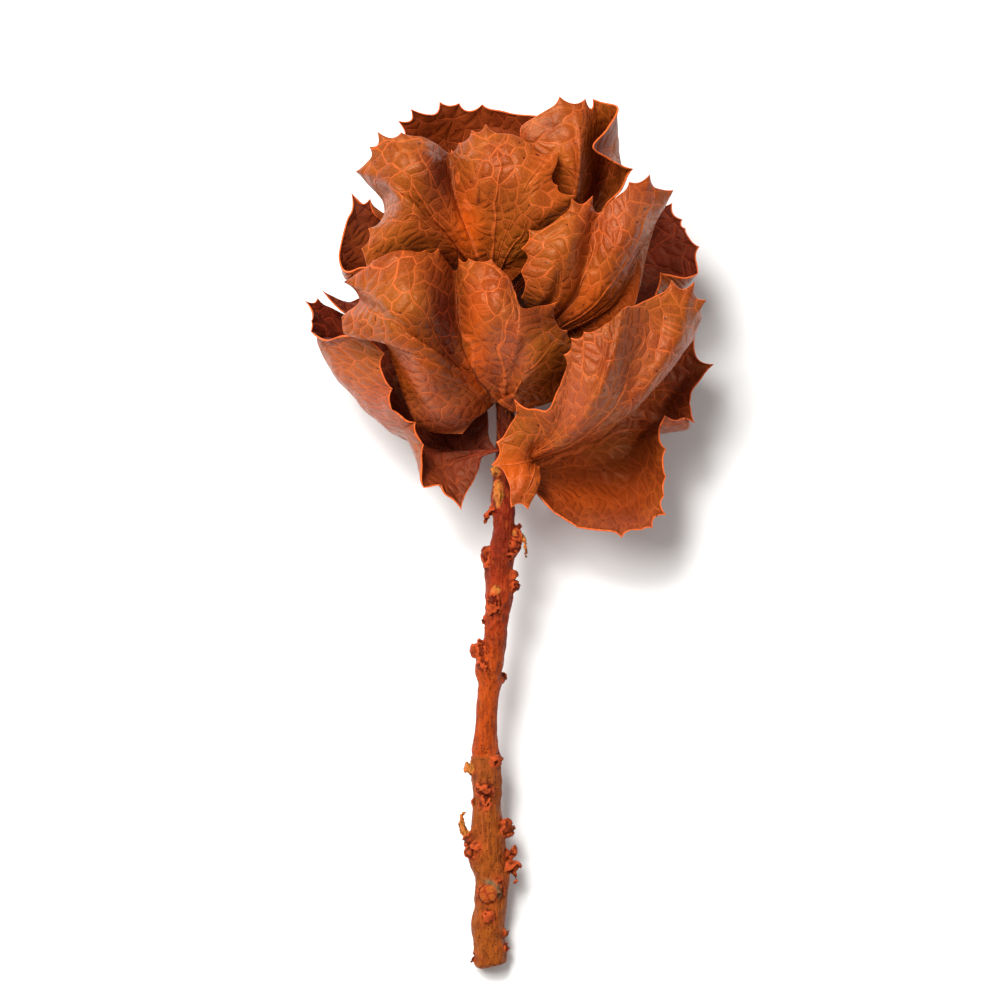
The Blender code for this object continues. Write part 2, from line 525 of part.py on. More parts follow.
            ((5, 822, 14), (15, 836, 4)),
            ((8, 812, 8), (20, 820, 0)),
            ((-5, 803, 4), (6, 806, 0)),
        ),
        "tips": (),
        "toothed": ((0.5, 7.5),),
    },
}
DARK_LEAVES = ("leaf_left_back", "leaf_top_back", "leaf_right_back", "leaf_tip")


def start_clean():
    for old in list(bpy.data.objects):
        bpy.data.objects.remove(old)


def new_collection(name):
    group = bpy.data.collections.new(name)
    bpy.context.scene.collection.children.link(group)
    return group


def material(name, colour, roughness):
    made = bpy.data.materials.new(name)
    made.use_nodes = True
    shader = made.node_tree.nodes["Principled BSDF"]
    shader.inputs["Base Color"].default_value = colour
    shader.inputs["Roughness"].default_value = roughness
    shader.inputs["Metallic"].default_value = 0.0
    made.diffuse_color = colour
    return made


def smooth_curve(knots, points, at):
    """Points read at the places asked for from a smooth curve through points at the knots: cubic pieces whose
    slopes are the mean of the chords on both sides, weighted by the lengths of the other chord."""
    points = np.asarray(points, float)
    spans = np.diff(knots).reshape((-1,) + (1,) * (points.ndim - 1))
    chords = np.diff(points, axis=0) / spans
    slopes = np.empty_like(points)
    slopes[1:-1] = (chords[:-1] * spans[1:] + chords[1:] * spans[:-1]) / (spans[:-1] + spans[1:])
    slopes[0] = 1.5 * chords[0] - 0.5 * slopes[1]
    slopes[-1] = 1.5 * chords[-1] - 0.5 * slopes[-2]
    i = np.clip(np.searchsorted(knots, at, side="right") - 1, 0, len(knots) - 2)
    span = spans[i]
    t = (np.asarray(at) - np.asarray(knots)[i]).reshape(span.shape) / span
    return (
        (1 + 2 * t) * (1 - t) ** 2 * points[i]
        + t * (1 - t) ** 2 * span * slopes[i]
        + t * t * (3 - 2 * t) * points[i + 1]
        + t * t * (t - 1) * span * slopes[i + 1]
    )


def lengths_along(points):
    """Distance of each point from the first, along the straight lines between them."""
    return np.concatenate([[0.0], np.cumsum(np.linalg.norm(np.diff(points, axis=0), axis=1))])


def stem_at(height):
    """The stem's axis point and radius at a height."""
    table = np.array(STEM, float)
    x, z, radius = (np.interp(height, table[:, 0], table[:, k]) for k in (1, 2, 3))
    return np.array([x, height, z]), radius


def foot_points(seat, knots):
    """The start of each rib, on an arc round the bark, SEAT_GAP and half a blade clear of it. The ribs
    are spaced there as they are along the margin."""
    height, azimuth, half_spread = seat
    centre, radius = stem_at(height)
    angles = np.radians(azimuth + half_spread * (2 * knots / knots[-1] - 1))
    reach = radius + (SEAT_GAP + BLADE / 2) / STEP
    outward = np.stack([np.sin(angles), np.zeros(len(knots)), np.cos(angles)], axis=1)
    return centre + reach * outward


class LeafSurface:
    """A leaf as a surface of two parameters: s, the distance along its margin, and v, from its foot (0)
    to its margin (1). Each rib is a smooth curve from the foot through its points, and smooth curves
    cross the ribs."""

    def __init__(self, table):
        ribs = table["ribs"]
        self.knots = lengths_along(np.array([rib[-1] for rib in ribs], float))
        feet = foot_points(table["seat"], self.knots)
        self.paths = [np.array([foot, *points], float) for foot, points in zip(feet, ribs)]

    def rib_row(self, v):
        row = []
        for path in self.paths:
            along = lengths_along(path)
            row.append(smooth_curve(along, path, np.array([v * along[-1]]))[0])
        return np.array(row)

    def at(self, s, v):
        return smooth_curve(self.knots, self.rib_row(v), s)


def even_teeth(knots, stretches, chance):
    """Places of evenly spaced teeth on stretches of the margin, each moved a little at random."""
    places = []
    numbers = np.arange(len(knots))
    for first, last in stretches:
        low, high = (float(np.interp(k, numbers, knots)) for k in (first, last))
        low, high = max(low, MARGIN_END), min(high, knots[-1] - MARGIN_END)
        count = max(1, round((high - low) / TOOTH_PITCH))
        pitch = (high - low) / count
        places += [low + pitch * (k + 0.5 + chance.uniform(-0.15, 0.15)) for k in range(count)]
    return places


def teeth_of(surface, table, chance):
    """Each tooth as (place along the margin, push from the margin to its tip), in order."""
    s = np.linspace(0, surface.knots[-1], 1200)
    margin = surface.at(s, 1.0)
    teeth = []
    start = 0
    for tip in table["tips"]:
        away = np.hypot(margin[start:, 0] - tip[0], margin[start:, 1] - tip[1])
        start += int(np.argmin(away))
        push = np.array([tip[0] - margin[start, 0], tip[1] - margin[start, 1], 0.0])
        teeth.append((s[start], push))
    places = np.array(even_teeth(surface.knots, table["toothed"], chance))
    if len(places):
        outward = surface.at(places, 1.0) - surface.at(places, 0.93)
        outward /= np.linalg.norm(outward, axis=1)[:, None]
        teeth += [(p, TOOTH_LENGTH * chance.uniform(0.7, 1.2) * o) for p, o in zip(places, outward)]
    kept = []
    for place, push in sorted(teeth, key=lambda tooth: tooth[0]):
        clear_of_last = not kept or place - kept[-1][0] >= CLOSEST_TEETH
        clear_of_ends = MARGIN_END / 2 < place < surface.knots[-1] - MARGIN_END / 2
        if clear_of_last and clear_of_ends:
            kept.append((place, push))
    return kept


def floor_plane():
    """The angle of the floor to the plant's axis, the floor's upward normal on the design grid, and how
    far the floor is from the grid's origin along that normal, in steps."""
    (cut_y, cut_z), (lobe_y, lobe_z) = CUT_REST, LOBE_REST
    angle = math.atan2(cut_z - lobe_z, lobe_y - cut_y)
    normal = np.array([0.0, math.sin(angle), math.cos(angle)])
    return angle, normal, cut_y * normal[1] + cut_z * normal[2]


def column_places(teeth, end):
    """Places along the margin for the sheet's columns of points: one at each end and the rest evenly
    spread, with every tooth halfway between two of them. Also the number of the column before each
    tooth."""
    stops = [0.0, *(place for place, _ in teeth), end]
    columns = []
    before = []
    for k, (low, high) in enumerate(zip(stops, stops[1:])):
        is_first, is_last = k == 0, k == len(stops) - 2
        count = max(1, round((high - low) / COLUMN_PITCH))
        total = count + (0.5 if is_first != is_last else 0.0)
        marks = np.arange(0.0 if is_first else 0.5, total + (0.1 if is_last else -0.1))
        columns += list(low + (high - low) * marks / total)
        before.append(len(columns) - 1)
    return np.array(columns), before[:-1]


def blade_sheet(surface, teeth):
    """The open sheet of a leaf: rows of points from its foot to its margin, with a three-sided tooth set
    into the outermost strip wherever one stands. All faces are triangles, so that both sides of the
    blade fold alike."""
    columns, before = column_places(teeth, surface.knots[-1])
    width = len(columns)
    verts = list(np.concatenate([surface.at(columns, v) for v in (*ROWS, 1.0)]))
    tooth_at = dict(zip(before, teeth))
    faces = []
    for r in range(len(ROWS)):
        for c in range(width - 1):
            low, low_next = r * width + c, r * width + c + 1
            high, high_next = low + width, low_next + width
            if r < len(ROWS) - 1 or c not in tooth_at:
                faces += [(low, low_next, high_next), (low, high_next, high)]
                continue
            place, push = tooth_at[c]
            left_foot = place - min(TOOTH_FOOT, FOOT_SHARE * (place - columns[c]))
            right_foot = place + min(TOOTH_FOOT, FOOT_SHARE * (columns[c + 1] - place))
            left_point, top, right_point = surface.at(np.array([left_foot, place, right_foot]), 1.0)
            left = len(verts)
            right, tip = left + 1, left + 2
            verts += [left_point, right_point, top + push]
            faces += [
                (low, left, high), (low, right, left), (low, low_next, right), (left, right, tip),
                (low_next, high_next, right),
            ]
    return np.array(verts), faces


def add_blade(name, table, finish, group, chance):
    """A leaf: its sheet, pressed flat where it would dip below the floor, thickened by a Solidify
    modifier."""
    surface = LeafSurface(table)
    verts, faces = blade_sheet(surface, teeth_of(surface, table, chance))
    _, normal, floor = floor_plane()
    sunk = np.maximum(0.0, floor + BLADE / 2 / STEP - verts @ normal)
    verts += sunk[:, None] * normal
    mesh = bpy.data.meshes.new(name)
    mesh.from_pydata((verts * STEP).tolist(), [], faces)
    mesh.materials.append(finish)
    leaf = bpy.data.objects.new(name, mesh)
    group.objects.link(leaf)
    wall = leaf.modifiers.new("Blade", "SOLIDIFY")
    wall.thickness = BLADE
    wall.offset = 0.0
    return leaf


def add_tube(name, points, group, sides, turn=0.0):
    """A tapered tube through (x, y, z, radius) points, made a closed mesh. Its sides are turned about
    its line."""
    curve = bpy.data.curves.new(name, "CURVE")
    curve.dimensions = "3D"
    curve.bevel_depth = STEP
    curve.bevel_resolution = sides
    curve.use_fill_caps = True
    line = curve.splines.new("POLY")
    line.points.add(len(points) - 1)
    for spot, (x, y, z, radius) in zip(line.points, points):
        spot.co = (x * STEP, y * STEP, z * STEP, 1.0)
        spot.radius = radius
        spot.tilt = turn
    drawn = bpy.data.objects.new(name + "_line", curve)
    group.objects.link(drawn)
    bpy.context.view_layer.update()
    evaluated = drawn.evaluated_get(bpy.context.evaluated_depsgraph_get())
    mesh = bpy.data.meshes.new_from_object(evaluated)
    tube = bpy.data.objects.new(name, mesh)
    group.objects.link(tube)
    bpy.data.objects.remove(drawn)
    close_ends(mesh)
    return tube


def close_ends(mesh):
    """Joins a tube's caps to its wall."""
    shape = bmesh.new()
    shape.from_mesh(mesh)
    bmesh.ops.remove_doubles(shape, verts=shape.verts, dist=WELD)
    bmesh.ops.recalc_face_normals(shape, faces=shape.faces)
    bmesh.ops.triangulate(shape, faces=shape.faces)
    shape.to_mesh(mesh)
    shape.free()


def apply_modifiers(piece):
    """Keeps the shape that the modifiers make as the piece's own mesh."""
    evaluated = piece.evaluated_get(bpy.context.evaluated_depsgraph_get())
    mesh = bpy.data.meshes.new_from_object(evaluated)
    piece.modifiers.clear()
    piece.data = mesh


def add_stem(finish, group):
    """The woody stem, with its knobs, stubs and shreds joined to it in one union."""
    stem = add_tube("stem", [(x, y, z, radius) for y, x, z, radius in STEM], group, STEM_SIDES, STEM_TURN)
    stem.data.materials.append(finish)
    growths = new_collection("growths")
    for name, points in GROWTHS.items():
        add_tube(name, points, growths, GROWTH_SIDES)
    union = stem.modifiers.new("Growths", "BOOLEAN")
    union.operation = "UNION"
    union.operand_type = "COLLECTION"
    union.collection = growths
    union.solver = "MANIFOLD"
    bpy.context.view_layer.update()
    apply_modifiers(stem)
    for growth in list(growths.objects):
        bpy.data.objects.remove(growth)
    bpy.data.collections.remove(growths)
    return stem


def lay_down(pieces, group):
    """Turns the plant so that the line from the cut end to the lowest lobes is level, rests it on the
    floor, cuts off what would reach below the floor, and centres the plant on the origin."""
    angle, _, depth = floor_plane()
    floor = depth * STEP
    axis = bpy.data.objects.new("plant_axis", None)
    group.objects.link(axis)
    axis.rotation_euler = (angle, 0.0, 0.0)
    axis.location = (0.0, 0.0, -floor)
    for piece in pieces:
        piece.parent = axis
    bpy.context.view_layer.update()
    corners = []
    for piece in pieces:
        apply_modifiers(piece)
        matrix = np.array(piece.matrix_world)
        points = np.empty(3 * len(piece.data.vertices))
        piece.data.vertices.foreach_get("co", points)
        world = points.reshape(-1, 3) @ matrix[:3, :3].T + matrix[:3, 3]
        world[:, 2] = np.maximum(world[:, 2], 0.0)
        local = (world - matrix[:3, 3]) @ matrix[:3, :3]
        piece.data.vertices.foreach_set("co", local.ravel())
        piece.data.update()
        corners += [world.min(axis=0), world.max(axis=0)]
    middle = (np.min(corners, axis=0) + np.max(corners, axis=0)) / 2
    axis.location = (-middle[0], -middle[1], -floor)


def main():
    start_clean()
    group = new_collection("dried_queen_flower")
    chance = random.Random(7)
    leaf_finish = material("dried_leaf", LEAF_BROWN, 0.5)
    dark_finish = material("dried_leaf_inner", LEAF_DARK, 0.55)
    bark = material("bark", BARK, 0.7)
    pieces = [add_stem(bark, group)]
    for name, table in LEAVES.items():
        finish = dark_finish if name in DARK_LEAVES else leaf_finish
        pieces.append(add_blade(name, table, finish, group, chance))
    lay_down(pieces, group)


main()
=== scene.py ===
"""Dried queen flower: the looks of a cut branch tip with a head of cupped, spiny, net-veined leaves.

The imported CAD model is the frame. The stem and every leaf are replaced by finer surfaces of the same form,
drawn on the same design grid: x to the right, y up the stem, z from the stem's axis to the side that faces
up, in steps.
"""

import math
import random

import bpy
import numpy as np
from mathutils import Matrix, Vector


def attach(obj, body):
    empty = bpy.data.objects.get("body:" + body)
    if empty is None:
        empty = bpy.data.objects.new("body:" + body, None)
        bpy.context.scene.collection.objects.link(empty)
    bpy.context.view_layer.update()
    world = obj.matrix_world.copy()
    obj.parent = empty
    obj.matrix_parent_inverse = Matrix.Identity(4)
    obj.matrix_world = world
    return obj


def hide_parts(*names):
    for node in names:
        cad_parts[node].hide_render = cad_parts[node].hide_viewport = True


bl_info = {
    "name": "Dried Queen Flower",
    "version": (1, 0, 0),
    "blender": (4, 5, 0),
    "location": "3D View > Sidebar > Queen Flower",
    "description": "Finishes a dried, dyed branch tip: net-veined leaves with spiny rims, and a barky stem",
    "category": "Mesh",
}

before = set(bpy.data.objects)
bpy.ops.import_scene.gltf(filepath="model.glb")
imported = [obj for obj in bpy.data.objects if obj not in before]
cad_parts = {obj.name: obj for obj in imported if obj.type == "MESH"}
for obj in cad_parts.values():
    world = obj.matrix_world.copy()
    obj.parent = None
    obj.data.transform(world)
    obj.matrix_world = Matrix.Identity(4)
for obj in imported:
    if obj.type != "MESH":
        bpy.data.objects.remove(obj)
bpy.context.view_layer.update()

# The design grid and how the plant lies
STEP = 0.314 / 872  # one step, metres
MM = 1000 * STEP  # one step, millimetres
BLADE = 0.0008  # thickness of a CAD leaf, metres
SEAT_GAP = 0.0004  # clear space between a leaf's foot and the bark, metres
CUT_REST = (40, -15.2)  # y and z of the floor under the cut end, grid steps
LOBE_REST = (718, -136.4)  # y and z of the floor under the lowest leaf, grid steps
PLANT_PLACE = (-0.0033452, -0.16516244)  # where the grid's origin lies on the floor, metres

# Teeth in even rows, as the CAD leaves have them, in grid steps
TOOTH_PITCH = 34
TOOTH_LENGTH = 8
CLOSEST_TEETH = 9
MARGIN_END = 14  # how far from the margin's ends a row stops
TOOTH_SEED = 7

# How the finer leaves are drawn
RIM_ROWS = (1.3, 0.85, 0.55, 0.35, 0.2, 0.08, 0.0)  # the last rows' distances from the rim, millimetres
RIM_START = 1.9  # where they take over from even rows, millimetres from the rim
TOOTH_REACH = 15.0  # how far a tooth draws the margin out on each side, grid steps
TOOTH_POWER = 3.2  # how hollow the margin hangs between two teeth
TOOTH_ROOT = 5.5  # how far into the blade a tooth draws it, millimetres
WANDER = (0.09, 13.0)  # how far main veins wander, in bays, and how often, millimetres
WARP = (0.45, 8.0)  # the same of the vein net, both in millimetres
NET_SHIFT = 37.3  # how far each leaf's net lies from that of the leaf before, millimetres
CRINKLE = (0.07, 5.5)  # height and width of the blade's small crinkles, millimetres
LEAST_BAY = 5.0  # least breadth of a bay between two main veins, millimetres
QUILT_EDGE = 2.8  # how far beside a main vein the blade starts to bulge, millimetres
BUCKLE = 14.0  # breadth of the blade's broad buckles, millimetres
TOOTH_SLIMMING = 0.7  # how much thinner the blade is at a tooth's point, a share
GROOVE = 0.35  # depth of a vein's groove in the inner face, a share of its ridge
FIRST_SEED = 20  # seed of the first leaf's noise; each leaf after it has the next
WIDE_MESH, SMALL_MESH = 5.0, 1.8  # meshes of the vein nets, millimetres
GROUP_OF_MESHES = 10.5  # breadth of a group of wide meshes, millimetres

# How the finer stem is drawn
STEM_TUBE, GROWTH_TUBE = (48, 1.6), (20, 1.0)  # sides, and steps between two circles
GROWTH_EDGE = 3.0  # how far from a growth its bark fades out, grid steps
PATCH_EDGE = 1.5  # the same of cut or torn wood
FOLD_REACH = 13.0  # the same of the folds round a growth

# The stage
FLOOR_REACH = 4.0  # metres from the middle to the paper's sides
VIEW_MIDDLE = (0.0, 500.0, 30.0)  # what the camera and the lights point at, on the grid
VIEW_WIDTH = 1000  # breadth of the camera's view there, grid steps
SENSOR = 36.0  # width of the camera's sensor, millimetres

# Settings that several nodes share, and the inputs of a ramp
RGBA = {"data_type": "RGBA"}  # mixes colours: inputs 0 (share), 6 and 7, and output 2
SMOOTH = {"interpolation_type": "SMOOTHSTEP"}
PLANE = {"voronoi_dimensions": "2D"}
TO_EDGE = {"feature": "DISTANCE_TO_EDGE"}
TIMES = {"operation": "MULTIPLY"}
TIMES_PLUS = {"operation": "MULTIPLY_ADD"}
RAMP = ("Value", "From Min", "From Max", "To Min", "To Max")

# The stem's axis and radius at heights up the plant: (y, x, z, radius), grid steps
STEM = (
    (31.5, -8.8, 0, 11.5), (33.5, -9.2, 0, 14.8), (38, -9.3, 0, 15.8), (46, -9.8, 0, 16),
    (57, -10.8, 0, 15.9), (74, -12.4, 0, 16.7), (90, -9.8, 0, 16.2), (104, -8.9, 0, 16.6), (123, -8, 0, 17),
    (140, -12.5, 0, 18.2), (155, -12.8, 0, 18.4), (170, -13, 0, 16.2), (185, -13.2, 0, 14.4),
    (200, -12.6, 0, 13.9), (214, -12.4, 0, 15), (230, -14.6, 0, 15.2), (243, -14.8, 0, 13.8),
    (253, -14.8, 0, 13.2), (264, -14.4, 0, 11.6), (280, -13.6, 0, 10.8), (297, -12.6, 0, 10.8),
    (316, -10.6, 0, 11.6), (330, -11.4, 0, 13.6), (345, -8.4, 0, 13), (360, -4.6, 0, 11.6),
    (372, -4.4, 0, 11.6), (388, -2.6, 0, 12.4), (400, -1, 0, 14), (412, -0.6, 0, 14), (426, -1.6, 0, 13.8),
    (440, -0.6, 0, 14.2), (455, 2.6, 0, 12.2), (470, 3.4, 0, 10.6), (485, 4, 0, 11), (500, 3, 0, 11.6),
    (515, 3.2, 0, 11), (540, 5, 0, 10.2), (570, 6, 0, 9.6), (600, 5, 0, 9.2), (630, 2.6, 0, 8.8),
    (660, -1, 0, 8.2), (690, -5, 0, 7.6), (720, -9.4, 0, 7), (750, -12.6, 0, 6.2), (780, -15, 0, 5),
    (803, -16, 0, 3.6), (812, -16.4, 0, 2),
)
# Knobs, stubs, spurs and torn bark. Each is a short tapered tube through points (x, y, z, radius)
GROWTHS = {
    "branch_scar": (
        (-12.4, 106, 2, 8.5), (-12.4, 106, 15, 9.5), (-12.4, 106, 19.5, 9), (-12.4, 106, 21, 6),
    ),
    "scar_crater": ((-11, 83, 8, 6), (-11, 83, 16.5, 5.5), (-11, 83, 18.4, 3.5)),
    "scar_lip": ((-4, 120, 8, 5), (-2, 116, 16.5, 4.5), (1, 108, 17, 3.5), (1.5, 102, 14, 2)),
    "cut_spur": ((-20, 44, 0, 5), (-27, 38, 2, 3), (-29.5, 36.5, 2, 1.2)),
    "foot_bump_low": ((0, 50, 3, 5), (6.5, 51, 4, 4.5), (9.2, 51, 4, 2.5)),
    "foot_bump_high": ((-1, 63, 3, 5), (6, 65, 3, 4), (8.8, 67, 3, 2)),
    "right_stub": ((0, 131, 3, 6), (10, 132, 5, 5.5), (17, 132, 6, 4.8), (19.4, 130, 6, 3)),
    "right_shred": ((12, 128, 5, 3), (16, 121, 7, 2), (14.6, 114, 8, 0.9)),
    "right_flare": ((2, 142, 2, 6), (10, 145, 3, 4.5), (14.6, 150, 3, 2.5), (15.5, 153, 3, 1.2)),
    "right_lobe": ((0, 168, 3, 7), (8, 169, 5, 7), (12.5, 170, 6, 5), (14.6, 171, 6, 2.5)),
    "right_lobe_top": ((0, 171, 3, 6), (7, 175, 5, 5.4), (11, 180, 6, 2.6)),
    "left_knob_high": ((-24, 158, 4, 8), (-32, 157, 6, 7), (-36, 156, 7, 4)),
    "left_knob_low": ((-22, 147, 6, 8), (-30, 146, 10, 7), (-33, 144, 12, 4.5)),
    "left_knob_front": ((-20, 151, 8, 6), (-24, 152, 16, 5.5), (-25, 152, 18.5, 3)),
    "left_hook": (
        (-26, 157, 2, 4.5), (-35, 165, 0, 3.4), (-39, 176, 0, 2.6), (-38, 183, 0, 2), (-35, 187, 0, 1),
    ),
    "left_bump": ((-22, 196, 0, 4), (-27, 197, 1, 2.4), (-29, 197, 1, 1.2)),
    "scar_cluster": ((-15, 212, 4, 9), (-15, 208, 12, 9), (-15, 205, 14, 6.5)),
    "scar_cluster_low": ((-15, 196, 4, 6), (-15, 195, 12, 5.6), (-15, 193, 14.4, 3.4)),
    "ring_left": ((-22, 230, 2, 7), (-30, 231, 4, 5.8), (-34.5, 232, 5, 5)),
    "ring_eye": ((-5, 238, 6, 6), (-4.5, 237, 14.5, 5), (-4.5, 236, 16.2, 3)),
    "ring_right": ((-6, 240, 0, 7), (-0.4, 241, 0, 4.5), (1.6, 242, 0, 2)),
    "mid_left_block": ((-14, 346, 2, 8), (-24, 349, 3, 7), (-29.5, 350, 4, 5)),
    "mid_left_spike": ((-16, 352, 3, 5), (-20.5, 358, 4, 2.6), (-21, 361, 4, 1)),
    "mid_left_eye": ((-14, 334, 4, 8), (-18, 335, 12, 5.5), (-19, 335, 13.8, 3.2)),
    "thin_spur": ((-10, 380, 0, 5), (-17.5, 379.5, 0, 2.6), (-21.4, 379, 0, 1)),
    "red_scar": ((-6, 386, 5, 7), (-6, 395, 11, 7), (-6, 402, 13.4, 5), (-6, 406, 12, 2.5)),
    "pale_chip": ((-4, 406, 9, 4.5), (-4, 410, 14, 3.2), (-5, 413, 14.6, 1.4)),
    "right_bump_low": ((8, 412, 2, 7), (16, 413, 3, 5.6), (20, 412, 3, 3.6)),
    "right_bump_high": ((6, 423, 3, 6), (14, 425, 5, 4.6), (18, 426, 5, 2.6)),
    "left_flap": ((-10, 436, 2, 7), (-13, 444, 4, 6), (-14, 451, 4, 4.2), (-14, 453, 4, 2.5)),
    "torn_bark": ((8, 445, 3, 7), (15, 456, 5, 6), (18.5, 466, 5, 4), (18, 476, 4, 2)),
    "hanging_strip": ((15, 466, 4, 3.2), (23, 464, 5, 2.2), (25.5, 453, 5, 1.6), (25.5, 441, 5, 1.2)),
    "upper_hook": ((-2, 496, 2, 5), (-9, 489, 3, 3), (-14, 483, 3, 2.4), (-15, 476, 3, 1)),
    "long_scar": ((-1, 520, 4, 3.6), (-1, 513, 8.5, 4.4), (-1, 504, 9, 4.4), (-1, 495, 8, 2.6)),
    "rolled_stipule": ((-1, 526, 4, 4), (-5, 529, 8.5, 3.4), (-5, 533, 10.5, 2.6), (-3, 534, 12.5, 1.2)),
    "back_knob_low": ((-12, 112, -4, 8), (-14, 114, -15, 6.5), (-14, 114, -17.5, 3.5)),
    "back_knob_mid": ((-14, 222, -4, 7), (-17, 224, -15, 5), (-17, 225, -17, 2.5)),
    "back_stub": ((-6, 318, -2, 6), (2, 322, -10, 4.6), (5, 324, -13.5, 2.4)),
    "back_scar": ((-2, 405, -4, 7), (-4, 406, -13, 5.5), (-4, 407, -15.4, 2.6)),
    "back_spur": ((3, 470, -2, 5), (6, 474, -10.5, 3), (7, 476, -14, 1.2)),
}
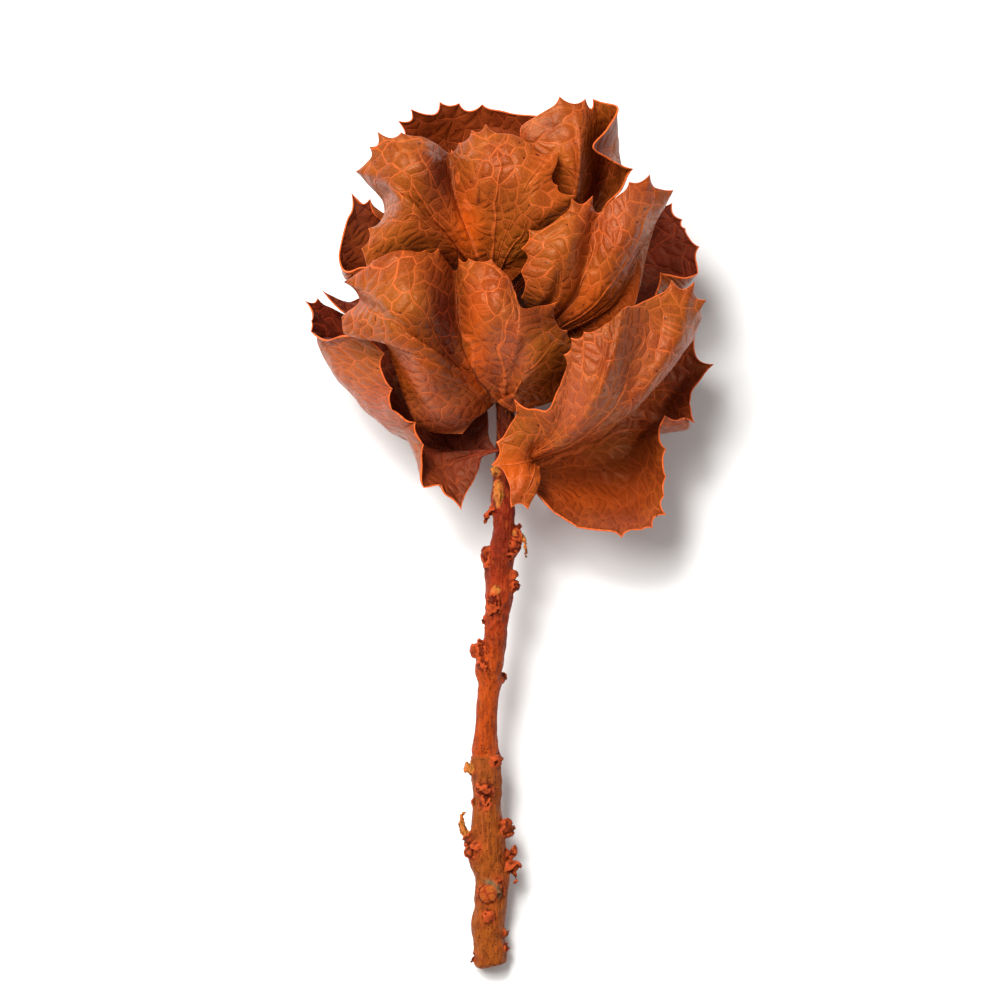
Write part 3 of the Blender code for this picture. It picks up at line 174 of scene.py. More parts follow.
# Each leaf: seat = (height, azimuth, half spread) of its foot round the stem, with azimuths in degrees
# from the side that faces up, growing to the right; ribs = points from the foot to the margin, in order
# along the margin; tips = (x, y) of the spines in the same order; toothed = stretches of rib numbers with
# even teeth
LEAVES = {
    "leaf_front_centre": {
        "seat": (597, -20, 60),
        "ribs": (
            ((-26, 580, 26), (-37, 566, 30)), ((-55, 575, 46), (-82, 576, 22)),
            ((-68, 600, 66), (-97, 608, 18)), ((-79, 625, 86), (-107, 638, 29)),
            ((-86, 639, 96), (-114, 656, 46)), ((-90, 648, 102), (-138, 667, 62)),
            ((-92, 650, 104), (-155, 666, 58)), ((-98, 665, 112), (-155, 682, 57)),
            ((-62, 636, 74), (-98, 672, 114), (-140, 698, 52)),
            ((-62, 640, 77), (-98, 680, 118), (-147, 719, 66)),
            ((-58, 645, 79), (-92, 690, 120), (-132, 731, 82)),
            ((-54, 649, 79), (-82, 697, 120), (-100, 747, 95)),
            ((-46, 649, 76), (-69, 697, 114), (-75, 744, 92)),
            ((-38, 647, 70), (-54, 693, 98), (-59, 742, 80)),
            ((-27, 630, 54), (-40, 682, 80), (-45, 728, 62)),
            ((-17, 642, 68), (-29, 688, 96), (-37, 734, 80)),
            ((-10, 644, 74), (-12, 690, 108), (-14, 735, 92)), ((-1, 642, 76), (4, 687, 112), (7, 722, 98)),
            ((6, 636, 72), (13, 680, 110), (12, 708, 101), (10, 717, 98)),
            ((10, 632, 70), (19, 668, 112), (22, 690, 104)), ((14, 628, 66), (30, 664, 104), (44, 692, 92)),
            ((40, 645, 91), (60, 669, 76)), ((40, 628, 74), (78, 648, 48)), ((28, 612, 52), (60, 605, 28)),
            ((-2, 598, 26), (12, 588, 20)),
        ),
        "tips": (
            (-137, 670), (-158, 682), (-156, 717), (-126, 738), (-74, 748), (-61, 750), (-41, 740),
            (-31, 740), (-8, 739), (57, 697), (67, 669),
        ),
        "toothed": ((0.5, 4), (22, 23.5)),
    },
    "leaf_front_upper": {
        "seat": (716, -10, 60),
        "ribs": (
            ((-45, 738, 30), (-60, 732, 40)), ((-85, 745, 66), (-128, 723, 60)),
            ((-95, 760, 84), (-134, 742, 68)), ((-98, 775, 92), (-126, 766, 70)),
            ((-98, 788, 96), (-116, 781, 60)), ((-100, 800, 98), (-116, 797, 42)),
            ((-60, 768, 70), (-100, 812, 100), (-138, 828, 64)),
            ((-57, 773, 73), (-95, 822, 104), (-126, 842, 78)),
            ((-54, 777, 75), (-90, 830, 104), (-117, 854, 84)),
            ((-49, 779, 76), (-80, 835, 104), (-98, 860, 86)),
            ((-44, 778, 75), (-68, 832, 100), (-78, 860, 84)),
            ((-38, 774, 70), (-58, 825, 88), (-64, 854, 74)),
            ((-30, 762, 60), (-43, 806, 76), (-49, 845, 64)),
            ((-24, 770, 70), (-32, 820, 92), (-41, 850, 72)),
            ((-16, 775, 76), (-18, 828, 104), (-24, 862, 86)),
            ((-7, 776, 78), (-2, 830, 108), (0, 863, 92)), ((-2, 776, 78), (7, 830, 108), (12, 862, 94)),
            ((2, 774, 78), (16, 826, 108), (23, 857, 96)), ((6, 772, 78), (25, 820, 107), (36, 845, 98)),
            ((9, 768, 77), (32, 814, 105), (56, 836, 96)), ((11, 765, 76), (36, 806, 103), (51, 820, 96)),
            ((13, 760, 74), (38, 796, 101), (53, 809, 94)), ((13, 754, 68), (38, 782, 96), (66, 799, 90)),
            ((11, 745, 56), (32, 766, 82), (58, 778, 80)), ((2, 734, 38), (20, 742, 54), (38, 745, 52)),
            ((-8, 732, 20), (6, 714, 26)),
        ),
        "tips": (
            (-138, 750), (-131, 770), (-144, 827), (-130, 851), (-122, 866), (-98, 865), (-41, 855),
            (-28, 867), (-14, 873), (57, 845), (75, 802),
        ),
        "toothed": ((20, 24.5),),
    },
    "leaf_left_low": {
        "seat": (550, -75, -60),
        "ribs": (
            ((-18, 542, 6), (-21, 532, 10)), ((-30, 534, 8), (-30, 513, 18)),
            ((-42, 532, 6), (-40, 501, 24)), ((-52, 533, 2), (-53, 504, 28)),
            ((-60, 536, -2), (-63, 513, 32)), ((-68, 542, -6), (-76, 514, 34)),
            ((-48, 544, -12), (-81, 543, 2), (-78, 537, 34)),
            ((-52, 546, -18), (-94, 562, 0), (-80, 559, 42)),
            ((-54, 548, -22), (-112, 572, 2), (-95, 580, 46)),
            ((-55, 549, -26), (-134, 592, 4), (-109, 596, 48)),
            ((-56, 550, -28), (-148, 610, 6), (-112, 613, 48)),
            ((-56, 550, -30), (-158, 624, 6), (-119, 633, 48)),
            ((-57, 551, -32), (-167, 638, 4), (-121, 650, 48)),
            ((-58, 551, -34), (-173, 650, 2), (-134, 662, 46)),
            ((-58, 552, -35), (-179, 658, 0), (-155, 664, 36)),
            ((-58, 552, -36), (-182, 663, -4), (-175, 660, 18)),
            ((-58, 552, -36), (-182, 668, -10), (-188, 669, 4)),
            ((-58, 552, -37), (-175, 672, -22), (-188, 682, -8)),
            ((-58, 552, -38), (-115, 600, -52), (-170, 675, -34), (-189, 697, -24)),
            ((-58, 552, -40), (-110, 600, -56), (-155, 675, -46), (-176, 696, -38)),
            ((-57, 553, -40), (-100, 598, -60), (-158, 688, -50)),
            ((-56, 553, -40), (-86, 600, -60), (-120, 672, -62)),
            ((-53, 554, -38), (-74, 600, -56), (-86, 648, -60)),
            ((-46, 554, -30), (-55, 584, -44), (-60, 612, -48)),
            ((-30, 554, -18), (-34, 572, -27), (-38, 592, -31)),
            ((-18, 559, -12), (-22, 576, -19), (-25, 592, -23)),
            ((-11, 563, -12), (-12, 579, -13), (-13, 592, -15)),
        ),
        "tips": (
            (-39, 490), (-53, 490), (-58, 515), (-76, 512), (-76, 555), (-84, 578), (-108, 590),
            (-107, 611), (-115, 646), (-190, 669), (-190, 680), (-197, 701), (-189, 704), (-184, 704),
        ),
        "toothed": ((20, 24),),
    },
    "leaf_left_edge": {
        "seat": (640, -130, -40),
        "ribs": (
            ((-50, 628, -16), (-80, 625, -16)), ((-60, 642, -24), (-118, 661, -18)),
            ((-70, 655, -30), (-149, 683, -18)), ((-80, 665, -34), (-164, 694, -19)),
            ((-85, 672, -36), (-173, 704, -22)), ((-85, 682, -38), (-166, 702, -30)),
            ((-85, 690, -42), (-155, 699, -36)), ((-80, 696, -44), (-142, 704, -41)),
            ((-70, 698, -46), (-115, 712, -50)), ((-50, 692, -44), (-75, 706, -50)),
            ((-20, 666, -26), (-35, 684, -38)),
        ),
        "tips": ((-179, 711), (-169, 711)),
        "toothed": ((0.5, 2), (7.3, 10)),
    },
    "leaf_left_back": {
        "seat": (670, -100, -45),
        "ribs": (
            ((-45, 678, -4), (-88, 708, 10)), ((-75, 688, -20), (-120, 708, 0), (-124, 732, 26)),
            ((-85, 695, -26), (-140, 712, 2), (-139, 733, 24)),
            ((-92, 702, -32), (-150, 719, 0), (-150, 729, 20)),
            ((-100, 710, -36), (-157, 730, -6), (-158, 732, 8)), ((-110, 732, -42), (-162, 744, 0)),
            ((-115, 752, -46), (-160, 758, -5)), ((-118, 765, -46), (-157, 771, -8)),
            ((-115, 775, -48), (-152, 786, -12)), ((-110, 780, -48), (-145, 794, -18)),
            ((-105, 782, -50), (-136, 796, -26)), ((-100, 778, -50), (-122, 784, -36)),
            ((-80, 765, -48), (-98, 780, -44)), ((-50, 725, -30), (-70, 745, -38)),
            ((-22, 684, -12), (-34, 700, -20)),
        ),
        "tips": ((-150, 810), (-141, 822), (-131, 804)),
        "toothed": ((11.3, 13.5),),
    },
    "leaf_top_back": {
        "seat": (768, 180, -45),
        "ribs": (
            ((-45, 785, -24), (-75, 808, -22)), ((-60, 810, -32), (-100, 845, -16)),
            ((-60, 835, -38), (-92, 872, 0)), ((-55, 845, -40), (-82, 886, 2)),
            ((-50, 850, -42), (-66, 888, -8)), ((-42, 850, -44), (-48, 896, -16)),
            ((-32, 850, -46), (-33, 892, -20)), ((-20, 850, -46), (-17, 894, -22)),
            ((-8, 848, -44), (-2, 893, -22)), ((5, 845, -42), (15, 889, -20)),
            ((15, 840, -40), (34, 887, -16)), ((25, 830, -36), (55, 880, -10)),
            ((25, 815, -30), (60, 840, -14)), ((12, 785, -16), (42, 795, -18)),
        ),
        "tips": (
            (-103, 881), (-90, 893), (-79, 897), (-61, 901), (-41, 900), (-18, 899), (-9, 903), (43, 888),
        ),
        "toothed": ((0.3, 1.3), (11.3, 12.7)),
    },
    "leaf_top_right": {
        "seat": (700, 70, 40),
        "ribs": (
            ((20, 715, 12), (45, 728, 22)), ((45, 745, 28), (75, 778, 50)),
            ((52, 755, 34), (74, 790, 58), (64, 796, 60)), ((52, 755, 36), (74, 800, 66), (54, 811, 66)),
            ((53, 756, 36), (74, 812, 76), (48, 828, 74)), ((53, 756, 36), (73, 820, 82), (38, 840, 78)),
            ((54, 757, 36), (72, 828, 87), (24, 852, 80)), ((54, 757, 36), (70, 840, 89), (20, 868, 80)),
            ((55, 758, 36), (71, 848, 90), (36, 881, 82)), ((56, 758, 36), (76, 845, 90), (67, 894, 82)),
            ((58, 758, 34), (82, 842, 88), (82, 891, 78)), ((64, 758, 24), (90, 835, 52), (91, 888, 76)),
            ((68, 758, 16), (98, 830, 24), (102, 894, 72)), ((70, 758, 14), (104, 825, 14), (116, 892, 70)),
            ((70, 758, 14), (106, 815, 12), (118, 858, 40), (106, 868, 80)),
            ((70, 758, 14), (106, 810, 10), (120, 840, 38), (92, 850, 86)),
            ((70, 758, 14), (107, 804, 8), (121, 832, 34), (108, 839, 76)),
            ((70, 758, 14), (108, 800, 10), (126, 827, 58)),
            ((70, 758, 14), (106, 794, 12), (121, 810, 48)), ((68, 757, 14), (98, 786, 20), (107, 796, 42)),
            ((60, 748, 14), (96, 772, 28)), ((30, 718, 10), (55, 724, 16)),
        ),
        "tips": ((59, 901), (85, 899), (92, 899), (105, 905), (133, 830)),
        "toothed": (),
    },
    "leaf_right_middle": {
        "seat": (655, 50, 45),
        "ribs": (
            ((32, 678, 48), (21, 701, 82)), ((40, 688, 64), (40, 703, 94), (25, 715, 97)),
            ((45, 692, 70), (45, 715, 104), (22, 727, 98)), ((50, 698, 78), (50, 730, 110), (28, 740, 100)),
            ((53, 700, 82), (53, 738, 112), (27, 752, 99)), ((57, 703, 86), (56, 748, 114), (35, 762, 100)),
            ((60, 705, 88), (62, 754, 114), (52, 774, 100)), ((65, 708, 88), (70, 755, 112), (68, 786, 98)),
            ((70, 708, 84), (78, 752, 102), (83, 791, 94)), ((75, 708, 74), (88, 748, 84), (98, 785, 84)),
            ((84, 708, 78), (100, 748, 92), (111, 797, 86)),
            ((92, 708, 80), (112, 752, 96), (123, 806, 84)),
            ((100, 708, 80), (124, 756, 94), (140, 815, 76)),
            ((106, 708, 76), (134, 758, 84), (153, 811, 68)),
            ((110, 708, 70), (145, 766, 66), (167, 807, 54)),
            ((112, 704, 64), (150, 770, 50), (155, 778, 26)),
            ((112, 700, 58), (142, 744, 52), (144, 737, 44)),
            ((110, 694, 52), (136, 720, 50), (138, 707, 48)), ((100, 682, 42), (130, 682, 40)),
            ((70, 668, 26), (92, 655, 28)), ((30, 655, 12), (48, 640, 18)),
        ),
        "tips": ((21, 726), (21, 749), (28, 768), (71, 799), (92, 802), (128, 816), (149, 824), (173, 809)),
        "toothed": ((18, 19.6),),
    },
    "leaf_right_back": {
        "seat": (615, 105, 40),
        "ribs": (
            ((60, 650, -6), (100, 660, 8)), ((90, 670, -20), (148, 688, 8)),
            ((120, 700, -34), (172, 707, -12), (168, 725, 14)),
            ((128, 710, -42), (184, 715, -12), (186, 723, 6)),
            ((132, 720, -46), (192, 724, -16), (198, 729, -6)), ((134, 732, -50), (197, 744, -14)),
            ((134, 745, -52), (192, 762, -20)), ((132, 755, -54), (185, 772, -26)),
            ((128, 762, -56), (176, 786, -30)), ((120, 768, -58), (164, 795, -36)),
            ((105, 770, -58), (140, 804, -42)), ((85, 760, -52), (112, 788, -46)),
            ((60, 728, -40), (75, 768, -46)), ((30, 670, -20), (35, 708, -32)),
        ),
        "tips": ((160, 728), (199, 728), (201, 755), (187, 774), (184, 783), (174, 800)),
        "toothed": ((0.3, 1.3), (10, 12.7)),
    },
    "leaf_front_right": {
        "seat": (538, 75, 35),
        "ribs": (
            ((34, 535, 12), (40, 533, 20), (37, 523, 27)), ((33, 536, 12), (37, 528, 24), (29, 499, 33)),
            ((33, 536, 12), (34, 528, 26), (21, 498, 35)), ((32, 537, 12), (31, 530, 27), (12, 501, 36)),
            ((31, 537, 12), (28, 532, 28), (10, 513, 35)), ((31, 538, 12), (26, 535, 29), (5, 526, 35)),
            ((31, 540, 13), (24, 541, 31), (0, 543, 38)), ((31, 543, 16), (25, 551, 35), (3, 560, 40)),
            ((30, 548, 22), (30, 562, 42), (16, 583, 46)), ((27, 549, 24), (39, 567, 48), (33, 591, 60)),
            ((49, 571, 55), (46, 589, 70)), ((56, 578, 63), (58, 612, 80)), ((62, 586, 70), (67, 634, 86)),
            ((68, 590, 76), (74, 654, 90)), ((74, 590, 80), (88, 632, 94), (90, 665, 92)),
            ((80, 588, 84), (100, 632, 99), (108, 676, 94)),
            ((84, 582, 86), (108, 628, 104), (123, 690, 93)),
            ((92, 580, 80), (120, 630, 88), (131, 692, 82)),
            ((100, 580, 72), (134, 636, 74), (146, 699, 68)),
            ((108, 580, 66), (150, 642, 68), (168, 708, 60)),
            ((114, 580, 60), (164, 644, 68), (187, 708, 54)),
            ((117, 578, 54), (172, 642, 60), (199, 694, 38)),
            ((114, 574, 46), (166, 628, 50), (196, 668, 18)),
            ((108, 570, 38), (148, 606, 40), (174, 644, -4)),
            ((98, 566, 32), (126, 590, 26), (146, 606, -14)), ((80, 560, 24), (92, 567, 12), (98, 570, -8)),
            ((52, 546, 16), (58, 551, 2)),
        ),
        "tips": (
            (28, 490), (21, 487), (11, 492), (-9, 535), (-4, 558), (14, 601), (60, 614), (63, 644),
            (70, 661), (83, 667), (104, 674), (127, 693), (171, 719), (194, 718), (206, 700), (202, 682),
        ),
        "toothed": ((22.5, 24.2),),
    },
    "leaf_right_low": {
        "seat": (522, 105, 45),
        "ribs": (
            ((29, 516, 4), (35, 510, 12)), ((38, 509, 2), (44, 498, 18)), ((52, 503, -5), (60, 484, 20)),
            ((72, 500, -14), (80, 473, 22)), ((92, 500, -22), (106, 469, 24)),
            ((106, 502, -28), (128, 469, 22)), ((116, 508, -34), (148, 474, 16)),
            ((124, 516, -38), (155, 485, 10)), ((130, 528, -42), (162, 502, 4)),
            ((134, 540, -46), (164, 524, 2)), ((136, 554, -48), (163, 545, 2)),
            ((138, 564, -50), (160, 562, 4)), ((140, 575, -52), (177, 571, -6), (161, 576, 16)),
            ((142, 584, -54), (190, 576, -14), (180, 581, 4)), ((144, 595, -56), (192, 590, -12)),
            ((145, 608, -58), (193, 608, -20)), ((145, 620, -58), (205, 628, -26)),
            ((142, 630, -60), (197, 648, -30)), ((136, 638, -62), (194, 662, -34)),
            ((122, 638, -62), (165, 670, -46)), ((106, 628, -56), (136, 655, -58)),
            ((80, 600, -42), (100, 622, -52)), ((45, 555, -20), (58, 578, -34)),
        ),
        "tips": (
            (43, 501), (54, 487), (78, 472), (122, 462), (132, 470), (142, 470), (153, 472), (167, 485),
            (165, 504), (167, 523), (167, 551), (165, 585), (196, 577), (191, 597), (216, 637), (197, 666),
        ),
        "toothed": ((19, 21.5),),
    },
    "leaf_back_right": {
        "seat": (602, 142, 32),
        "ribs": (
            ((40, 615, -40), (65, 625, -64)), ((60, 635, -64), (100, 645, -92)),
            ((85, 655, -82), (134, 668, -98)), ((100, 680, -94), (152, 700, -110)),
            ((105, 700, -100), (154, 735, -100)), ((100, 720, -104), (145, 764, -108)),
            ((90, 738, -106), (122, 788, -92)), ((70, 745, -106), (90, 804, -100)),
            ((50, 740, -102), (56, 808, -88)), ((32, 720, -90), (30, 788, -90)),
            ((22, 690, -68), (18, 750, -82)), ((14, 650, -36), (12, 700, -58)),
        ),
        "tips": (),
        "toothed": ((0, 11),),
    },
    "leaf_back_left": {
        "seat": (625, -140, -30),
        "ribs": (
            ((-30, 628, -38), (-55, 626, -58)), ((-52, 645, -62), (-88, 642, -88)),
            ((-70, 665, -80), (-116, 668, -94)), ((-80, 685, -92), (-132, 700, -110)),
            ((-85, 708, -100), (-132, 735, -100)), ((-85, 730, -104), (-125, 764, -110)),
            ((-80, 750, -106), (-106, 792, -98)), ((-65, 760, -106), (-80, 811, -104)),
            ((-45, 760, -104), (-50, 818, -90)), ((-28, 745, -98), (-22, 800, -92)),
            ((-16, 710, -76), (-10, 762, -84)), ((-7, 665, -40), (-3, 712, -58)),
        ),
        "tips": (),
        "toothed": ((0, 11),),
    },
    "leaf_back_centre": {
        "seat": (596, 180, -50),
        "ribs": (
            ((-24, 608, -48), (-48, 604, -72)), ((-48, 625, -84), (-85, 625, -110)),
            ((-64, 650, -112), (-110, 656, -118)), ((-68, 678, -130), (-120, 700, -128)),
            ((-64, 702, -138), (-112, 742, -122)), ((-50, 718, -140), (-84, 772, -132)),
            ((-26, 720, -130), (-45, 780, -118)), ((4, 712, -118), (3, 760, -112)),
            ((34, 720, -130), (52, 782, -128)), ((60, 716, -138), (92, 770, -120)),
            ((74, 700, -136), (122, 736, -132)), ((78, 675, -128), (130, 692, -120)),
            ((72, 648, -112), (116, 652, -124)), ((56, 624, -84), (90, 624, -100)),
            ((32, 608, -48), (56, 604, -72)),
        ),
        "tips": (),
        "toothed": ((0, 14),),
    },
    "leaf_back_upper": {
        "seat": (708, 180, -50),
        "ribs": (
            ((-30, 726, -36), (-52, 728, -56)), ((-48, 745, -58), (-88, 755, -74)),
            ((-55, 775, -68), (-102, 805, -80)), ((-50, 800, -74), (-90, 842, -76)),
            ((-38, 815, -76), (-62, 862, -72)), ((-25, 820, -74), (-38, 870, -66)),
            ((-12, 815, -68), (-15, 858, -60)), ((2, 820, -74), (10, 870, -66)),
            ((16, 814, -78), (35, 862, -72)), ((30, 800, -80), (60, 840, -76)),
            ((38, 775, -78), (75, 800, -78)), ((30, 745, -62), (65, 755, -72)),
            ((12, 726, -34), (30, 728, -54)),
        ),
        "tips": (),
        "toothed": ((0, 12),),
    },
    "leaf_tip": {
        "seat": (800, -5, 65),
        "ribs": (
            ((-30, 804, 12), (-44, 810, 20)), ((-38, 816, 20), (-54, 832, 26)),
            ((-37, 824, 24), (-45, 842, 24)), ((-28, 830, 22), (-30, 844, 18)),
            ((-18, 828, 18), (-16, 840, 10)), ((-6, 828, 18), (-2, 844, 8)), ((5, 822, 14), (15, 836, 4)),
            ((8, 812, 8), (20, 820, 0)), ((-5, 803, 4), (6, 806, 0)),
        ),
        "tips": (),
        "toothed": ((0.5, 7.5),),
    },
}

# How each leaf is finished. fine = columns and rows of points; veins = rib numbers that a main vein
# follows; dark = how dark its inner face is, 0 to 1, partly its own deeper dye and partly painted shade
# in the leaf's hollow; cracks = (rib number, from, to), shares of its length; tints = soft patches (x, y,
# reach across, reach up, kind, strength), grid steps: painted shade, a painted orange glow where light
# shines through the blade, a painted pinkish sheen, "amber" an olive-brown stain; "bare" takes the dark
# of the inner face away, "calm" the contrast of the vein net. turn = -1 where the outer face is the one
# towards the stem
FINISH = {
    "leaf_front_centre": {
        "fine": (300, 70), "veins": (3.5, 7.5, 11, 14, 17.5, 21), "dark": 0.95,
        "cracks": ((14, 0.08, 0.45),),
        "tints": (
            (-58, 690, 20, 46, "painted_shade", 1.0), (-50, 640, 12, 40, "painted_shade", 0.5),
            (-22, 650, 12, 50, "painted_glow", 0.6), (10, 650, 20, 34, "painted_sheen", 0.35),
            (34, 682, 22, 13, "painted_shade", 0.6), (-105, 690, 42, 36, "amber", 0.5),
            (-92, 622, 30, 26, "painted_glow", 0.25), (-60, 592, 34, 16, "painted_sheen", 0.45),
            (42, 652, 20, 26, "amber", 0.7), (-60, 578, 44, 10, "painted_shade", 0.5),
        ),
    },
    "leaf_front_upper": {
        "fine": (300, 70), "veins": (3.5, 7, 9.5, 12, 15.5, 18.5, 21.5), "dark": 0.95,
        "tints": (
            (-32, 768, 18, 32, "painted_glow", 0.8), (-60, 822, 17, 32, "painted_shade", 1.0),
            (-92, 806, 30, 34, "amber", 0.55), (22, 752, 18, 20, "amber", 0.7),
            (-100, 760, 26, 20, "amber", 0.4), (18, 800, 26, 30, "amber", 0.35),
            (-40, 735, 18, 10, "painted_shade", 0.6), (50, 820, 22, 26, "painted_glow", 0.3),
            (-21, 797, 2.2, 4, "painted_shade", 1.0), (-20, 806, 1.4, 4, "painted_shade", 0.8),
        ),
    },
    "leaf_left_low": {
        "fine": (320, 56), "veins": (3, 6.5, 10, 13, 16, 18.5, 21.5), "dark": 1.0,
        "tints": (
            (-125, 590, 40, 26, "painted_sheen", 0.6), (-160, 620, 22, 26, "painted_sheen", 0.4),
            (-140, 650, 22, 18, "amber", 0.5), (-48, 522, 24, 22, "painted_sheen", 0.2),
            (-52, 520, 26, 22, "bare", 0.45), (-52, 520, 30, 26, "calm", 0.6),
        ),
    },
    "leaf_left_edge": {
        "fine": (140, 40), "veins": (2, 4, 6, 8), "dark": 0.9,
        "tints": ((-150, 690, 40, 20, "painted_sheen", 0.6),),
    },
    "leaf_left_back": {
        "fine": (180, 40), "veins": (1, 4, 7, 10, 12.5), "dark": 0.75, "slot": "leaf_dark",
        "tints": (
            (-140, 800, 16, 24, "painted_sheen", 0.7), (-140, 764, 13, 30, "bare", 0.45),
            (-140, 764, 20, 40, "calm", 0.4),
        ),
    },
    "leaf_top_back": {
        "fine": (200, 40), "veins": (1.5, 4, 6.5, 9, 11.5), "dark": 0.6, "slot": "leaf_dark",
        "tints": ((-40, 870, 50, 14, "painted_glow", 0.25),),
    },
    "leaf_top_right": {
        "fine": (270, 62), "veins": (2, 5, 8, 11, 14, 17), "dark": 0.95, "turn": -1,
        "tints": (
            (66, 850, 20, 40, "painted_glow", 0.1), (70, 850, 24, 50, "calm", 0.5), (96, 818, 12, 30, "painted_shade", 0.9),
            (115, 850, 9, 30, "bare", 1.0), (52, 872, 10, 12, "painted_shade", 0.5),
        ),
    },
    "leaf_right_middle": {
        "fine": (300, 62), "veins": (1.5, 5, 9.5, 13, 16, 19), "dark": 0.95, "cracks": ((9.5, 0.3, 0.75),),
        "tints": (
            (96, 700, 30, 26, "painted_glow", 0.4), (50, 740, 20, 26, "amber", 0.5),
            (130, 790, 26, 22, "painted_sheen", 0.3),
        ),
    },
    "leaf_right_back": {
        "fine": (210, 44), "veins": (1.5, 4, 6, 8, 10, 12), "dark": 1.0, "slot": "leaf_dark",
    },
    "leaf_front_right": {
        "fine": (330, 64), "veins": (2, 5.5, 9, 12, 15, 18, 21.5), "dark": 0.95,
        "tints": (
            (10, 530, 20, 20, "painted_glow", 0.6), (74, 600, 24, 34, "painted_sheen", 0.5),
            (20, 570, 16, 20, "amber", 0.7), (140, 650, 22, 50, "painted_sheen", 0.3),
            (150, 680, 30, 24, "amber", 0.3), (115, 660, 18, 40, "painted_shade", 0.35),
        ),
    },
    "leaf_right_low": {
        "fine": (300, 70), "veins": (2.4, 5.5, 8.5, 11.6, 15, 18.5), "dark": 0.3,
        "tints": (
            (80, 510, 50, 22, "painted_glow", 0.5), (178, 630, 34, 46, "painted_shade", 0.9),
            (110, 560, 50, 14, "amber", 0.4), (120, 475, 50, 12, "painted_sheen", 0.4),
            (172, 578, 16, 14, "bare", 1.0), (172, 578, 14, 12, "painted_sheen", 0.9),
            (100, 580, 60, 18, "painted_shade", 0.6), (110, 520, 70, 60, "calm", 0.75),
        ),
    },
    "leaf_back_right": {
        "fine": (200, 48), "veins": (1.5, 3.5, 5.5, 7.5, 9.5), "dark": 0.9,
        "tints": ((110, 720, 40, 40, "amber", 0.5),),
    },
    "leaf_back_left": {
        "fine": (200, 48), "veins": (1.5, 3.5, 5.5, 7.5, 9.5), "dark": 0.9,
        "tints": ((-90, 720, 40, 40, "painted_sheen", 0.4),),
    },
    "leaf_back_centre": {
        "fine": (250, 56), "veins": (1.5, 3.5, 5.5, 7, 8.5, 10.5, 12.5), "dark": 0.9,
        "tints": ((0, 700, 50, 40, "painted_glow", 0.4),),
    },
    "leaf_back_upper": {
        "fine": (200, 48), "veins": (1.5, 3.5, 6, 8.5, 10.5), "dark": 0.9,
        "tints": ((0, 800, 50, 40, "amber", 0.5),),
    },
    "leaf_tip": {
        "fine": (90, 26), "veins": (1.5, 4, 6.5), "dark": 0.9, "slot": "leaf_dark",
    },
}
# patch kinds: painted shade, a painted glow of light through the blade, a painted pinkish sheen, an
# olive-brown stain, and calmer vein contrast
TINT_KINDS = ("painted_shade", "painted_glow", "painted_sheen", "amber", "calm")
CUT_WOOD = ("branch_scar",)
PALE_GROWTHS = ("pale_chip", "long_scar", "hanging_strip", "ring_left", "left_hook", "rolled_stipule")
RING_SCAR = 241.0  # height of the ring round the stem, grid steps


def linear(hex_colour):
    """An sRGB hex colour as the linear colour that Blender's sockets take."""
    parts = [int(hex_colour[i : i + 2], 16) / 255 for i in (0, 2, 4)]
    return (*(c / 12.92 if c <= 0.04045 else ((c + 0.055) / 1.055) ** 2.4 for c in parts), 1.0)


def put(tree, kind, settings, inputs):
    """Adds a shader node with its settings and gives its outputs; an input is a value, or the output that
    is linked to it."""
    node = tree.nodes.new("ShaderNode" + kind)
    for name, value in settings.items():
        setattr(node, name, value)
    for name, value in inputs.items():
        socket = node.inputs[name]
        if isinstance(value, bpy.types.NodeSocket):
            tree.links.new(value, socket)
        else:
            socket.default_value = value
    return node.outputs


def smooth_curve(knots, points, at):
    """Points read at the places asked for from a smooth curve through points at the knots: cubic pieces
    whose slopes are the mean of the chords on both sides, weighted by the lengths of the other chord."""
    points = np.asarray(points, float)
    spans = np.diff(knots).reshape((-1,) + (1,) * (points.ndim - 1))
    chords = np.diff(points, axis=0) / spans
    slopes = np.empty_like(points)
    slopes[1:-1] = (chords[:-1] * spans[1:] + chords[1:] * spans[:-1]) / (spans[:-1] + spans[1:])
    slopes[0] = 1.5 * chords[0] - 0.5 * slopes[1]
    slopes[-1] = 1.5 * chords[-1] - 0.5 * slopes[-2]
    i = np.clip(np.searchsorted(knots, at, side="right") - 1, 0, len(knots) - 2)
    span = spans[i]
    t = (np.asarray(at) - np.asarray(knots)[i]).reshape(span.shape) / span
    return (
        (1 + 2 * t) * (1 - t) ** 2 * points[i]
        + t * (1 - t) ** 2 * span * slopes[i]
        + t * t * (3 - 2 * t) * points[i + 1]
        + t * t * (t - 1) * span * slopes[i + 1]
    )


def lengths_along(points):
    """Distance of each point from the first, along the straight lines between them."""
    return np.concatenate([[0.0], np.cumsum(np.linalg.norm(np.diff(points, axis=0), axis=1))])


def smooth_step(x):
    """0 below 0 and 1 above 1, with the cubic 3x^2 - 2x^3 between."""
    x = np.clip(x, 0.0, 1.0)
    return x * x * (3 - 2 * x)


def ripple(points, size, seed):
    """Smooth noise between about -1 and 1: the sum of sixteen sine waves of wavelengths near `size`, each
    in a direction and with a phase of its own."""
    rng = np.random.default_rng(seed)
    waves = rng.normal(size=(16, 3))
    waves *= (2 * math.pi / size) * rng.uniform(0.65, 1.4, (16, 1)) / np.linalg.norm(waves, axis=1)[:, None]
    return np.sin(points @ waves.T + rng.uniform(0, 2 * math.pi, 16)).sum(axis=-1) / 5.0


def stem_at(height):
    """The stem's axis point and radius at a height."""
    table = np.array(STEM, float)
    x, z, radius = (np.interp(height, table[:, 0], table[:, k]) for k in (1, 2, 3))
    return np.array([x, height, z]), radius


